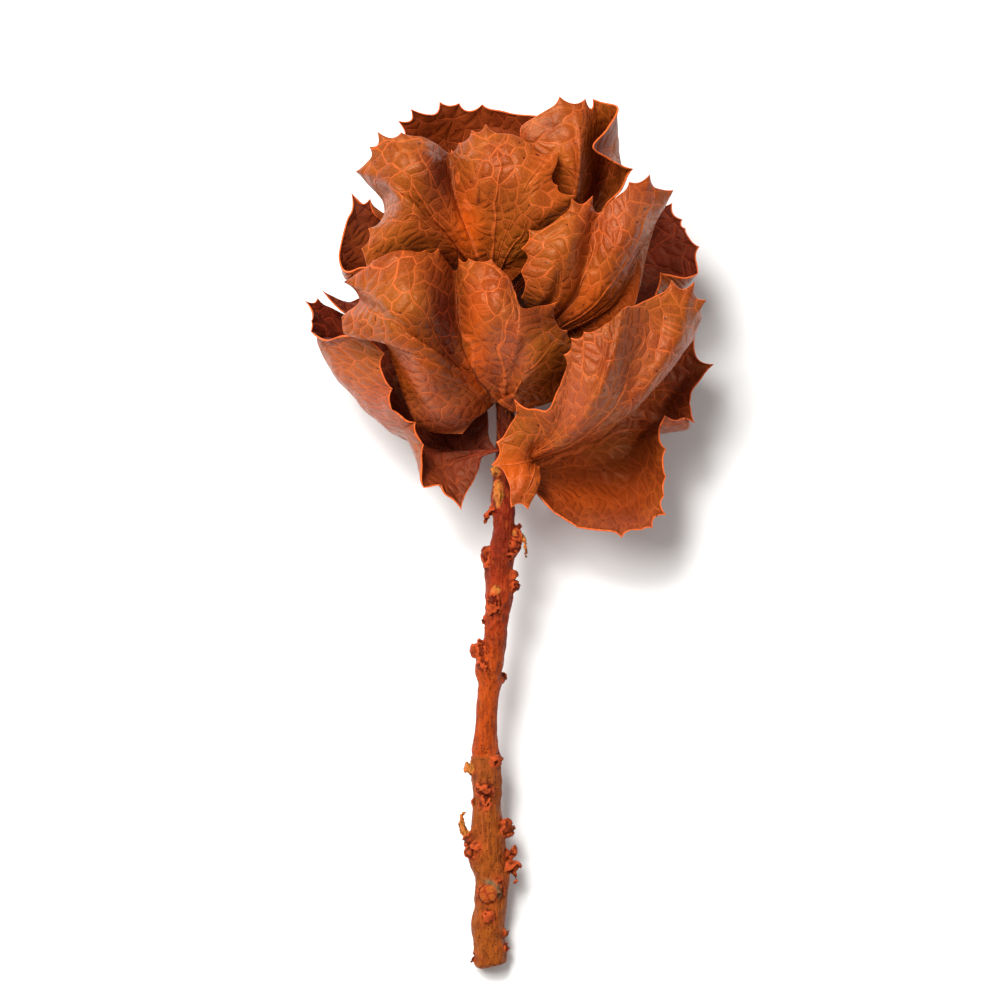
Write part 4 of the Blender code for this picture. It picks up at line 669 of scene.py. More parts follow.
def foot_points(seat, knots):
    """The start of each rib, on an arc round the bark, SEAT_GAP and half a blade clear of it."""
    height, azimuth, half_spread = seat
    centre, radius = stem_at(height)
    angles = np.radians(azimuth + half_spread * (2 * knots / knots[-1] - 1))
    reach = radius + (SEAT_GAP + BLADE / 2) / STEP
    return centre + reach * np.stack([np.sin(angles), np.zeros(len(knots)), np.cos(angles)], axis=1)


def margin_knots(table):
    return lengths_along(np.array([rib[-1] for rib in table["ribs"]], float))


def leaf_sheet(table, columns, rows):
    """A leaf's middle surface as points of two parameters: column, the distance along its margin, and
    row, from its foot (0) to its margin (1). Each rib is a smooth curve from the foot through its points,
    and smooth curves cross the ribs."""
    knots = margin_knots(table)
    curves = []
    for foot, points in zip(foot_points(table["seat"], knots), table["ribs"]):
        path = np.array([foot, *points], float)
        along = lengths_along(path)
        curves.append(smooth_curve(along, path, np.asarray(rows) * along[-1]))
    return smooth_curve(knots, np.array(curves), columns)


def even_teeth(knots, stretches, chance):
    """Places of evenly spaced teeth on stretches of the margin, each moved a little at random."""
    places = []
    numbers = np.arange(len(knots))
    for first, last in stretches:
        low, high = (float(np.interp(k, numbers, knots)) for k in (first, last))
        low, high = max(low, MARGIN_END), min(high, knots[-1] - MARGIN_END)
        count = max(1, round((high - low) / TOOTH_PITCH))
        pitch = (high - low) / count
        places += [low + pitch * (k + 0.5 + chance.uniform(-0.15, 0.15)) for k in range(count)]
    return places


def teeth_of(table, chance):
    """Each tooth as its place along the margin and the push from the margin to its tip, in order."""
    knots = margin_knots(table)
    s = np.linspace(0, knots[-1], 1200)
    margin = leaf_sheet(table, s, [1.0])[:, 0]
    teeth = []
    start = 0
    for tip in table["tips"]:
        start += int(np.argmin(np.hypot(margin[start:, 0] - tip[0], margin[start:, 1] - tip[1])))
        teeth.append((s[start], np.array([tip[0] - margin[start, 0], tip[1] - margin[start, 1], 0.0])))
    places = np.array(even_teeth(knots, table["toothed"], chance))
    if len(places):
        ends = leaf_sheet(table, places, [0.93, 1.0])
        outward = ends[:, 1] - ends[:, 0]
        outward /= np.linalg.norm(outward, axis=1)[:, None]
        teeth += [(p, TOOTH_LENGTH * chance.uniform(0.7, 1.2) * o) for p, o in zip(places, outward)]
    kept = []
    for place, push in sorted(teeth, key=lambda tooth: tooth[0]):
        clear_of_last = not kept or place - kept[-1][0] >= CLOSEST_TEETH
        if clear_of_last and MARGIN_END / 2 < place < knots[-1] - MARGIN_END / 2:
            kept.append((place, push))
    return np.array([place for place, _ in kept]), np.array([push for _, push in kept])


def spread_columns(places, veins, end, count):
    """Places along the margin, closer together beside teeth and main veins, with one exactly on each of
    them."""
    fine = np.linspace(0, end, 4000)
    density = 1 + 1.5 * np.exp(-(((fine[:, None] - places) / 3.5) ** 2)).sum(axis=1)
    density += 0.6 * np.exp(-(((fine[:, None] - veins) / 3.0) ** 2)).sum(axis=1)
    density += 3 * np.exp(-fine / 2) + 3 * np.exp((fine - end) / 2)
    filled = np.concatenate([[0.0], np.cumsum((density[1:] + density[:-1]) / 2)])
    columns = np.interp(np.linspace(0, filled[-1], count), filled, fine)
    for marks in (veins, places):
        columns[np.argmin(np.abs(columns[:, None] - marks), axis=0)] = marks
    return columns


def tooth_shares(columns, places):
    """How far each tooth draws each column out: (1 - distance / reach)^TOOTH_POWER, the reach being the
    distance to the next tooth on that side, TOOTH_REACH at most, so the margin hangs in a hollow curve
    between two."""
    away = columns[:, None] - places
    gaps = np.diff(places, prepend=places[0] - TOOTH_REACH, append=places[-1] + TOOTH_REACH)
    reach = np.minimum(np.where(away < 0, gaps[:-1], gaps[1:]), TOOTH_REACH)
    return np.maximum(0.0, 1 - np.abs(away) / reach) ** TOOTH_POWER


def floor_plane():
    """The angle of the floor to the plant's axis, the floor's normal on the grid, and the floor's
    distance."""
    (cut_y, cut_z), (lobe_y, lobe_z) = CUT_REST, LOBE_REST
    angle = math.atan2(cut_z - lobe_z, lobe_y - cut_y)
    normal = np.array([0.0, math.sin(angle), math.cos(angle)])
    return angle, normal, cut_y * normal[1] + cut_z * normal[2]


def lay_down(points):
    """Grid points as they lie in the world, metres: turned so that the plant rests on the floor, moved to
    its place, and nothing below the floor."""
    angle, _, depth = floor_plane()
    c, s = math.cos(angle), math.sin(angle)
    x, y, z = (points * STEP).T
    shift_x, shift_y = PLANT_PLACE
    world = np.stack([x + shift_x, c * y - s * z + shift_y, s * y + c * z - depth * STEP], axis=1)
    world[:, 2] = np.maximum(world[:, 2], 0.0)
    return world


def leaf_fields(sheet, columns, veins, cracks, seed):
    """What the finish needs at every point of the sheet, lengths in millimetres: the distance from the
    foot (out) and its share of the rib (share), the phase of the main veins (vein), whole along each of
    them and moved by smooth noise so that they wander, the breadth of a bay between two of them (bay),
    the cracks, and the place on the leaf rolled out flat: (r sin t, r cos t), where r is its distance
    from the foot and t grows from rib to rib by their distance over their length, both at two thirds of
    the way to the margin."""
    mm = sheet * MM
    across, out = (
        np.cumsum(np.linalg.norm(np.diff(mm, axis=k, prepend=np.take(mm, [0], axis=k)), axis=2), axis=k)
        for k in (0, 1)
    )
    share = out / out[:, -1:]
    at = [int(np.argmin(np.abs(columns - vein))) for vein in veins]
    # no main vein runs along the ends of the margin
    ends = [0, *at, len(columns) - 1]
    phases = np.array([0.35, *range(1, len(at) + 1), len(at) + 0.65])
    order = np.interp(np.arange(len(columns)), ends, phases)
    vein = order[:, None] + WANDER[0] * ripple(mm, WANDER[1], seed + 5) * smooth_step(share / 0.3)
    breadths = np.diff(across[ends], axis=0) / np.diff(phases)[:, None]
    breadths = (np.concatenate([breadths[:1], breadths]) + np.concatenate([breadths, breadths[-1:]])) / 2
    number = np.searchsorted(at, np.arange(len(columns)), side="right")
    part = ((order - phases[number]) / np.diff(phases)[number])[:, None]
    bay = np.maximum((1 - part) * breadths[number] + part * breadths[number + 1], LEAST_BAY)
    crack = np.zeros(share.shape)
    for place, first, last in cracks:
        line = across[int(np.argmin(np.abs(columns - place)))] + 0.25 * np.sin(40 * share)
        window = smooth_step((share - first) / 0.06) * smooth_step((last - share) / 0.12)
        crack = np.maximum(crack, window * ridge(across - line, 0.32))
    row = int(np.searchsorted(share[0], 0.66))
    turn = np.cumsum(np.diff(across[:, row], prepend=0.0) / out[:, row])[:, None]
    flat = np.stack([out * np.sin(turn), out * np.cos(turn), np.zeros(share.shape)], axis=-1)
    warp = [WARP[0] * ripple(mm, WARP[1], seed + k) for k in (1, 2)]
    flat[..., :2] += np.stack(warp, axis=-1) + NET_SHIFT * seed
    return {"out": out, "share": share, "vein": vein, "bay": bay, "crack": crack, "flat": flat}


def ridge(distance, width):
    return np.exp(-((distance / width) ** 2))


def tint_patches(sheet, tints):
    """Soft masks: each patch is a bell curve round a point of the leaf as it is seen from above."""
    x_of, y_of = sheet[..., 0], sheet[..., 1]
    masks = {kind: np.zeros(sheet.shape[:2]) for kind in (*TINT_KINDS, "bare")}
    for x, y, wide, tall, kind, strength in tints:
        masks[kind] += strength * ridge(x_of - x, wide) * ridge(y_of - y, tall)
    return masks


def unit(vectors):
    return vectors / np.maximum(np.linalg.norm(vectors, axis=-1, keepdims=True), 1e-9)


def leaf_lattice(table, finish, places):
    """Where the finer surface has its points: columns along the margin, and rows from the foot (0) to the
    margin (1), the last of them close together at the rim. Also the leaf's length in millimetres, and its
    main veins and cracks as places along the margin."""
    knots = margin_knots(table)
    numbers = np.arange(len(knots))
    veins = np.interp(finish["veins"], numbers, knots)
    cracks = [(np.interp(rib, numbers, knots), *span) for rib, *span in finish.get("cracks", ())]
    count, fine_rows = finish["fine"]
    columns = spread_columns(places, veins, knots[-1], count)
    some_ribs = leaf_sheet(table, columns[::9], np.linspace(0, 1, 20))
    length = np.linalg.norm(np.diff(some_ribs, axis=1), axis=2).sum(axis=1).mean() * MM
    even_rows = np.linspace(0, 1 - RIM_START / length, fine_rows - len(RIM_ROWS))
    rows = np.concatenate([even_rows, 1 - np.array(RIM_ROWS) / length])
    return columns, rows, length, veins, cracks


def outer_normals(sheet, turn):
    """Normals of the sheet on its outer side, which faces away from the stem, or towards it where turn is
    -1; and 1 where they follow the order of columns and rows, else -1."""
    normal = unit(np.cross(np.gradient(sheet, axis=0), np.gradient(sheet, axis=1)))
    heights, *axis = np.array(STEM, float)[:, :3].T
    from_axis = sheet[..., [0, 2]] - np.stack([np.interp(sheet[..., 1], heights, line) for line in axis], -1)
    side = turn if (normal[..., [0, 2]] * from_axis).sum(axis=-1).mean() > 0 else -turn
    return normal * side, side


def leaf_relief(mm, inside, fields, settings, seed):
    """In millimetres: how far the blade's middle lies off the sheet, as it buckles, bulges between its main
    veins and crinkles; and how far the main veins stand off the blade, as ridges of the form
    exp(-(distance/width)^2) that grow slimmer and lower towards the margin."""
    out, ending = fields["out"], 1 - fields["share"]
    body = smooth_step(inside / 1.6) * smooth_step(out / 6.0)
    from_main = np.abs(fields["vein"] - np.round(fields["vein"])) * fields["bay"]
    bulge = settings.sway * 1000 * ripple(mm, BUCKLE, seed + 11)
    bulge *= smooth_step(out / 15.0) * smooth_step(inside / 6.0)
    bulge += settings.quilt * 1000 * (1 - ridge(from_main, QUILT_EDGE)) * body
    bulge += CRINKLE[0] * ripple(mm, CRINKLE[1], seed + 13) * body
    veined = ridge(from_main, 0.6 + 0.3 * ending) * (0.35 + 0.7 * ending)
    return bulge, settings.vein_height * 1000 * veined * body


def half_thickness(inside, slim, settings):
    """Half the blade's thickness in millimetres: it swells to a bead along the rim and falls to nothing at
    the very edge as a quarter circle does."""
    bead, thin = settings.rim_half * 1000, settings.blade_half * 1000
    swollen = thin + (bead - thin) * ridge(inside - bead, 0.45)
    rounded = bead * np.sqrt(np.clip(1 - ((bead - inside) / bead) ** 2, 0, 1))
    half = np.where(inside < bead, rounded, swollen) * slim
    half[:, [0, -1]] = 0.0
    half[[0, -1]] = 0.0
    return half


def closed_faces(wide, tall, side):
    """The faces of a sheet's outer side, and of its inner side, whose points are numbered after the outer
    ones; the two share the points of their edges."""
    front = np.arange(wide * tall).reshape(wide, tall)
    back = front.copy()
    back[1:-1, 1:-1] = wide * tall + np.arange((wide - 2) * (tall - 2)).reshape(wide - 2, tall - 2)
    ahead, behind = (
        np.stack([grid[:-1, :-1], grid[1:, :-1], grid[1:, 1:], grid[:-1, 1:]], axis=-1).reshape(-1, 4)
        for grid in (front, back)
    )
    return np.concatenate([ahead, behind[:, ::-1]])[:, :: 1 if side > 0 else -1]


def on_both(outer, inner=None):
    """Values at the points of a closed leaf: all of the outer side, and the inner side without its edges.
    Without values of its own the inner side has those of the outer one."""
    inner = outer if inner is None else inner
    shape = (-1,) + outer.shape[2:]
    return np.concatenate([outer.reshape(shape), inner[1:-1, 1:-1].reshape(shape)])


def closed_leaf(name, table, finish, teeth, settings, seed):
    """A leaf as one closed surface. Its middle surface is drawn out to its teeth and pressed on the floor,
    and the outer and the inner side stand off it by half the blade's thickness. A main vein is a ridge on
    the outer side and a groove in the inner side."""
    places, pushes = teeth
    columns, rows, length, veins, cracks = leaf_lattice(table, finish, places)
    shares = tooth_shares(columns, places)
    drawn = np.clip(1 - (1 - rows) * length / TOOTH_ROOT, 0, 1) ** 2
    sheet = leaf_sheet(table, columns, rows) + (shares @ pushes)[:, None] * drawn[:, None]
    fields = leaf_fields(sheet, columns, veins, cracks, seed)
    inside = (1 - rows) * fields["out"][:, -1:]
    normal, side = outer_normals(sheet, finish.get("turn", 1))
    bulge, veined = leaf_relief(sheet * MM, inside, fields, settings, seed)
    middle = sheet + normal * (bulge / MM)[..., None]
    _, up, depth = floor_plane()
    sunk = np.maximum(0.0, depth + BLADE / 2 / STEP - middle @ up)
    middle = middle + sunk[..., None] * up
    slim = 1 - TOOTH_SLIMMING * shares.max(axis=1)[:, None] * drawn
    half = half_thickness(inside, slim, settings)
    veined = np.where(half > 0, veined, 0.0)
    outer = middle + normal * ((half + veined) / MM)[..., None]
    inner = middle - normal * ((half - GROOVE * veined) / MM)[..., None]
    patches = tint_patches(sheet, finish.get("tints", ()))
    masks = {kind: on_both(np.clip(mask, 0, 1)) for kind, mask in patches.items()}
    layers = {layer: on_both(values) for layer, values in fields.items()}
    layers["rim"] = on_both(inside)
    # the inner face's darkness: partly its own deeper dye, partly painted shade; the bare patches lift it
    dark = on_both(np.zeros_like(half), np.full_like(half, finish["dark"]))
    layers["dark"] = dark * (1 - masks.pop("bare"))
    faces = closed_faces(*half.shape, side)
    return make_piece(name, lay_down(on_both(outer, inner)), faces, layers | masks)


def make_piece(name, points, faces, layers):
    """A mesh object from arrays, with one number or vector per point stored for each layer of its
    finish."""
    mesh = bpy.data.meshes.new(name)
    mesh.from_pydata(points.tolist(), [], faces.tolist())
    for layer, values in layers.items():
        kind, key = ("FLOAT", "value") if values.ndim == 1 else ("FLOAT_VECTOR", "vector")
        mesh.attributes.new(layer, kind, "POINT").data.foreach_set(key, values.astype(np.float32).ravel())
    mesh.shade_smooth()
    piece = bpy.data.objects.new(name, mesh)
    bpy.context.scene.collection.objects.link(piece)
    return piece


def tube(points, sides, pitch):
    """A closed tapered tube: circles of the radius given, square to a smooth path through the points,
    `pitch` apart, with a point in the middle of each end."""
    points = np.array(points, float)
    along = lengths_along(points[:, :3])
    at = np.linspace(0, along[-1], max(4, int(along[-1] / pitch)))
    if len(points) > 2:
        path = smooth_curve(along, points, at)
    else:
        path = np.stack([np.interp(at, along, c) for c in points.T], axis=1)
    centre, radius = path[:, :3], np.maximum(path[:, 3], 0.4)
    tangent = unit(np.gradient(centre, axis=0))
    least = np.eye(3)[np.argmin(np.abs(tangent).mean(axis=0))]
    first = unit(np.cross(tangent, least))
    second = np.cross(tangent, first)
    turn = np.linspace(0, 2 * math.pi, sides, endpoint=False)
    ring = np.cos(turn)[None, :, None] * first[:, None] + np.sin(turn)[None, :, None] * second[:, None]
    wall = centre[:, None] + radius[:, None, None] * ring
    count = len(at)
    grid = np.arange(count * sides).reshape(count, sides)
    after = np.roll(grid, -1, axis=1)
    quads = np.stack([grid[:-1], grid[1:], after[1:], after[:-1]], axis=-1).reshape(-1, 4)
    start, end = count * sides, count * sides + 1
    caps = np.concatenate([
        np.stack([np.full(sides, start), grid[0], after[0]], axis=1),
        np.stack([np.full(sides, end), after[-1], grid[-1]], axis=1),
    ])
    verts = np.concatenate([wall.reshape(-1, 3), centre[:1], centre[-1:]])
    return verts, quads.tolist(), caps.tolist()


def distance_to_growth(points, growth):
    """Distance of points from a growth's skin in steps: the least over its pieces of the distance to the
    piece's middle line less the radius there."""
    best = np.full(len(points), 1e9)
    line = np.array(growth, float)
    for a, b in zip(line, line[1:]):
        way = b[:3] - a[:3]
        t = np.clip((points - a[:3]) @ way / (way @ way), 0, 1)
        gap = np.linalg.norm(points - (a[:3] + t[:, None] * way), axis=1) - (a[3] + t * (b[3] - a[3]))
        best = np.minimum(best, gap)
    return best


def joined_skin(tubes, cell):
    """Closed tubes made one skin by a voxel remesh: its points and normals on the grid, and its faces."""
    verts, faces = [], []
    total = 0
    for points, quads, caps in tubes:
        verts.append(points)
        faces += [[v + total for v in face] for face in quads + caps]
        total += len(points)
    rough = bpy.data.meshes.new("stem_rough")
    rough.from_pydata((np.concatenate(verts) * STEP).tolist(), [], faces)
    joined = bpy.data.objects.new("stem_rough", rough)
    bpy.context.scene.collection.objects.link(joined)
    skin = joined.modifiers.new("Skin", "REMESH")
    skin.mode = "VOXEL"
    skin.voxel_size = cell
    relax = joined.modifiers.new("Relax", "SMOOTH")
    relax.factor = 0.5
    relax.iterations = 3
    bpy.context.view_layer.update()
    mesh = bpy.data.meshes.new_from_object(joined.evaluated_get(bpy.context.evaluated_depsgraph_get()))
    bpy.data.objects.remove(joined)
    points, normals = np.empty((2, 3 * len(mesh.vertices)))
    mesh.vertices.foreach_get("co", points)
    mesh.vertices.foreach_get("normal", normals)
    corners = np.empty(len(mesh.loops), int)
    mesh.loops.foreach_get("vertex_index", corners)
    bpy.data.meshes.remove(mesh)
    return points.reshape(-1, 3) / STEP, normals.reshape(-1, 3), corners.reshape(-1, 4)


def bark_relief(points, normals):
    """How far the bark stands off the skin in millimetres, and the numbers that its finish needs, at each
    point: knobs, cut wood, pale wood, torn flakes, crust and height."""
    height = points[:, 1]
    mm = points * MM
    gaps = {name: distance_to_growth(points, growth) for name, growth in GROWTHS.items()}
    knob, near = (
        np.max([smooth_step(1 - gap / edge) for gap in gaps.values()], axis=0)
        for edge in (GROWTH_EDGE, FOLD_REACH)
    )
    near = near * (1 - knob)
    cut, pale = (
        np.max([smooth_step(1 - gaps[name] / PATCH_EDGE) for name in names], axis=0)
        for names in (CUT_WOOD, PALE_GROWTHS)
    )
    cut = cut * smooth_step(normals[:, 2] * 3 - 1.6)
    upward = smooth_step(normals[:, 2] * 2)
    # torn bark: flakes that rise slowly to a sharp edge, the part after the point of smooth noise; and
    # folds round the knobs, 1 - 2|noise|
    flakes = 0.6 * ripple(mm * (1.0, 0.6, 1.0), 4.2, 6) + 0.14 * ripple(mm, 1.6, 7)
    torn = 2 * (flakes - np.floor(flakes)) - 1
    folds = 1 - 2 * np.abs(ripple(mm * (1.0, 0.55, 1.0), 3.6, 8))
    # streaks along the stem, stouter low down, and lumps and grain
    low = smooth_step((250 - height) / 20)
    relief = 0.09 * ripple(mm * (1.0, 0.1, 1.0), 1.6, 3) * (0.4 + 0.9 * low)
    relief += 0.14 * ripple(mm, 4.2, 4) + 0.05 * ripple(mm, 1.3, 5)
    relief += 0.55 * knob * torn * (1 - cut) + 0.34 * near * folds
    # the ring scar, and the rings and the crust round the cut branch
    relief += 0.22 * ridge(height - RING_SCAR, 1.6) - 0.25 * ridge(height - RING_SCAR - 3.5, 1.2)
    scar_x, scar_y = GROWTHS[CUT_WOOD[0]][0][:2]
    spread = np.hypot(points[:, 0] - scar_x, height - scar_y)
    relief += cut * 0.12 * np.sin(spread * 2.4) - 0.3 * ridge(spread - 10.5, 1.3) * upward
    moss = upward * ridge(spread - 11.5, 2.4) * smooth_step((points[:, 0] + height - 95) / 12)
    return relief, {
        "knob": np.maximum(knob, 0.25 * near), "cut": cut, "pale": pale,
        "torn": np.where(knob > 0.3, torn, folds), "moss": moss, "height": height / 1000,
    }


def build_stem(settings):
    """The stem: a tube along its axis and one for every knob, stub and shred, in one skin, which the relief
    of the bark moves along its normals."""
    tubes = [tube([(x, y, z, r) for y, x, z, r in STEM], *STEM_TUBE)]
    tubes += [tube(points, *GROWTH_TUBE) for points in GROWTHS.values()]
    points, normals, quads = joined_skin(tubes, settings.skin)
    relief, layers = bark_relief(points, normals)
    return make_piece("stem_bark", lay_down(points + normals * (relief / MM)[:, None]), quads, layers)


def new_material(name, fields):
    """A material with an empty tree, the mesh's numbers read by name, and the place on the object."""
    material = bpy.data.materials.new(name)
    material.use_nodes = True
    tree = material.node_tree
    tree.nodes.clear()
    field = {layer: put(tree, "Attribute", {"attribute_name": layer}, {})["Fac"] for layer in fields}
    return material, tree, field, put(tree, "TexCoord", {}, {})["Object"]


def vein_nets(tree, flat):
    """Two nets of meshes on the leaf rolled out flat: the distances from the lines of the wide and of the
    small meshes, every wide mesh's tone, and how far the wide lines reach and how strong they are. Wide
    meshes are grouped by the cell that their middle lies in, and a line between two groups is stout."""
    wide, small = (
        put(tree, "TexVoronoi", PLANE | TO_EDGE, {"Vector": flat, "Scale": 1 / mesh})["Distance"]
        for mesh in (WIDE_MESH, SMALL_MESH)
    )
    groups = []
    for feature in ("F2", "F1"):
        nearest = PLANE | {"feature": feature}
        cells = put(tree, "TexVoronoi", nearest, {"Vector": flat, "Scale": 1 / WIDE_MESH})
        group = put(tree, "TexVoronoi", PLANE, {"Vector": cells["Position"], "Scale": 1 / GROUP_OF_MESHES})
        groups.append(put(tree, "SeparateColor", {}, {0: group["Color"]})[0])
    tone = put(tree, "SeparateColor", {}, {0: cells["Color"]})[0]
    slight = put(tree, "Math", {"operation": "COMPARE"}, {0: groups[0], 1: groups[1], 2: 0.00001})[0]
    reach, strength = (
        put(tree, "Math", TIMES_PLUS, {0: slight, 1: less, 2: stout})[0]
        for less, stout in ((-0.02, 0.07), (-0.32, 0.7))
    )
    return wide, small, tone, reach, strength


def beside_main_vein(tree, field):
    """Distance from the nearest main vein in millimetres. The main veins run where the phase is whole; they
    thin out and end short of the rim."""
    ending = put(tree, "MapRange", {}, dict(zip(RAMP, (field["share"], 0.2, 1.0, -0.15, 0.3))))[0]
    off = put(tree, "Math", {"operation": "PINGPONG"}, {0: field["vein"], 1: 0.5})[0]
    off = put(tree, "Math", TIMES, {0: off, 1: field["bay"]})[0]
    return put(tree, "Math", {"operation": "ADD"}, {0: off, 1: ending})[0]


def leaf_masks(tree, field, spot, settings):
    """The masks and patterns of a leaf's skin by name."""
    flat = put(tree, "Attribute", {"attribute_name": "flat"}, {})["Vector"]
    # cloudy dye, 16 mm across; mottling, 2.2 mm; grain, 0.5 mm
    broad, fine, grain = (
        put(tree, "TexNoise", {}, {"Vector": spot, "Scale": 1 / size, "Detail": detail})["Fac"]
        for size, detail in ((0.016, 3.0), (0.0022, 4.0), (0.0005, 2.0))
    )
    wide, small, tone, reach, strength = vein_nets(tree, flat)
    off = beside_main_vein(tree, field)
    # reddish streaks, 0.7 mm apart, that run out of the foot
    narrow = put(tree, "Mapping", {}, {"Vector": flat, "Scale": (1.4, 0.3, 1.0)})[0]
    streak = put(tree, "TexNoise", {}, {"Vector": narrow, "Scale": 1.0, "Detail": 3.0})["Fac"]
    # pin spots up to 0.9 mm wide, one in 6 mm at most
    pins = put(tree, "TexVoronoi", PLANE, {"Vector": flat, "Scale": 1 / 6.0})
    size = put(tree, "SeparateColor", {}, {0: pins["Color"]})[0]
    pin = put(tree, "Math", TIMES_PLUS, {0: size, 1: -0.1, 2: pins["Distance"]})[0]
    # what is read, from and to which value, and the mask at both
    ramps = (
        ("cloud", {}, broad, 0.4, 0.6, 0.0, 1.0),
        ("mottle", {}, fine, 0.38, 0.7, 0.0, 0.5),
        ("middle", SMOOTH, wide, 0.06, 0.4, 0.0, 0.45),
        ("main_vein", SMOOTH, off, 0.2, 0.55, 0.85, 0.0),
        ("wide_line", SMOOTH, wide, 0.012, reach, strength, 0.0),
        ("small_line", SMOOTH, small, 0.02, 0.11, 0.22, 0.0),
        ("foot", SMOOTH, field["out"], 4.0, 18.0, 0.65, 0.0),
        ("streaks", {}, streak, 0.42, 0.62, 0.0, 1.0),
        ("rim", SMOOTH, field["rim"], 0.1, 0.4, 0.95, 0.0),
        ("pin", SMOOTH, pin, -0.04, 0.0, 0.85, 0.0),
        ("rough", {}, fine, 0.0, 1.0, settings.gloss - 0.1, settings.gloss + 0.14),
        ("bulge", SMOOTH, wide, 0.0, 0.36, 0.0, 0.36),
    )
    masks = {name: put(tree, "MapRange", kind, dict(zip(RAMP, limits)))[0] for name, kind, *limits in ramps}
    return masks | {"tone": tone, "fine": fine, "grain": grain}


def finish_leaf(settings):
    """Foliage kept supple with glycerine and dyed orange: leathery, a low satin gloss, dye darker in the
    meshes between the veins and brightest in the veins and the rim, where the tissue is dense and pale.
    On the dye lie patches of painted shade, a painted orange glow and a painted pinkish sheen, and the
    inner face is darker, partly from its own deeper dye and partly painted shade."""
    names = ("vein", "bay", "crack", "rim", "out", "share", "dark", *TINT_KINDS)
    material, tree, field, spot = new_material("glycerined_leaf", names)
    mask = leaf_masks(tree, field, spot, settings)
    # the inner face's darkness, partly its own deeper dye and partly painted shade, and the patches of
    # painted shade
    dark, painted_shade = field["dark"], field["painted_shade"]
    # the lines hardly show where the leaf is calm
    shown = put(tree, "Math", {"operation": "SUBTRACT"}, {0: 1.0, 1: field["calm"]})[0]
    deep, red, main_vein, wide_line, small_line = (
        put(tree, "Math", TIMES, {0: part, 1: share})[0]
        for part, share in (
            (mask["tone"], 0.45), (mask["foot"], mask["streaks"]),
            (mask["main_vein"], shown), (mask["wide_line"], shown), (mask["small_line"], shown),
        )
    )
    # the inner face is darker, partly from its own deeper dye and partly painted shade, its veins too;
    # the patches of painted shade darken the veins and the rim as well
    inner, bright, edge = (
        put(tree, "Mix", RGBA, {0: part, 6: first, 7: linear(second)})[2]
        for part, first, second in (
            (mask["cloud"], linear("451006"), "6A2110"), (painted_shade, tuple(settings.vein_colour), "8E3414"),
            (painted_shade, tuple(settings.rim_colour), "B04018"),
        )
    )
    bright = put(tree, "Mix", RGBA, {0: dark, 6: bright, 7: linear("8C3014")})[2]
    colour = tuple(settings.leaf_colour)
    # layers of colour in order; among them painted light: a painted orange glow where light shines through
    # the blade, a painted pinkish sheen, and painted shade
    for part, layer in (
        (mask["cloud"], linear("9E5016")), (deep, linear("6E280A")), (mask["mottle"], linear("7C300C")),
        (mask["middle"], linear("74300F")), (field["amber"], linear("8A480E")),
        (field["painted_glow"], linear("D6560E")), (field["painted_sheen"], linear("A8543C")),
        (painted_shade, linear("47140A")), (dark, inner), (red, linear("6A2010")),
        (small_line, bright), (wide_line, bright), (main_vein, bright), (mask["rim"], edge),
        (mask["pin"], linear("4A1410")), (field["crack"], linear("38110C")),
    ):
        colour = put(tree, "Mix", RGBA, {0: part, 6: colour, 7: layer})[2]
    rough = put(tree, "Math", TIMES_PLUS, {0: dark, 1: 0.18, 2: mask["rough"]})[0]
    # relief in millimetres: bulging meshes, raised lines, leathery grain
    relief = mask["bulge"]
    for part, rise in (
        (main_vein, 0.2), (wide_line, 0.2), (small_line, 0.09), (mask["fine"], 0.26), (mask["grain"], 0.13),
    ):
        relief = put(tree, "Math", TIMES_PLUS, {0: part, 1: rise, 2: relief})[0]
    bump = put(tree, "Bump", {}, {"Height": relief, "Strength": 0.8, "Distance": 0.001})[0]
    shader = put(tree, "BsdfPrincipled", {}, {
        "Base Color": colour, "Roughness": rough, "Normal": bump, "IOR": 1.45,
        "Specular IOR Level": 0.4, "Specular Tint": linear("FFBE96"),
    })
    put(tree, "OutputMaterial", {}, {"Surface": shader[0]})
    return material


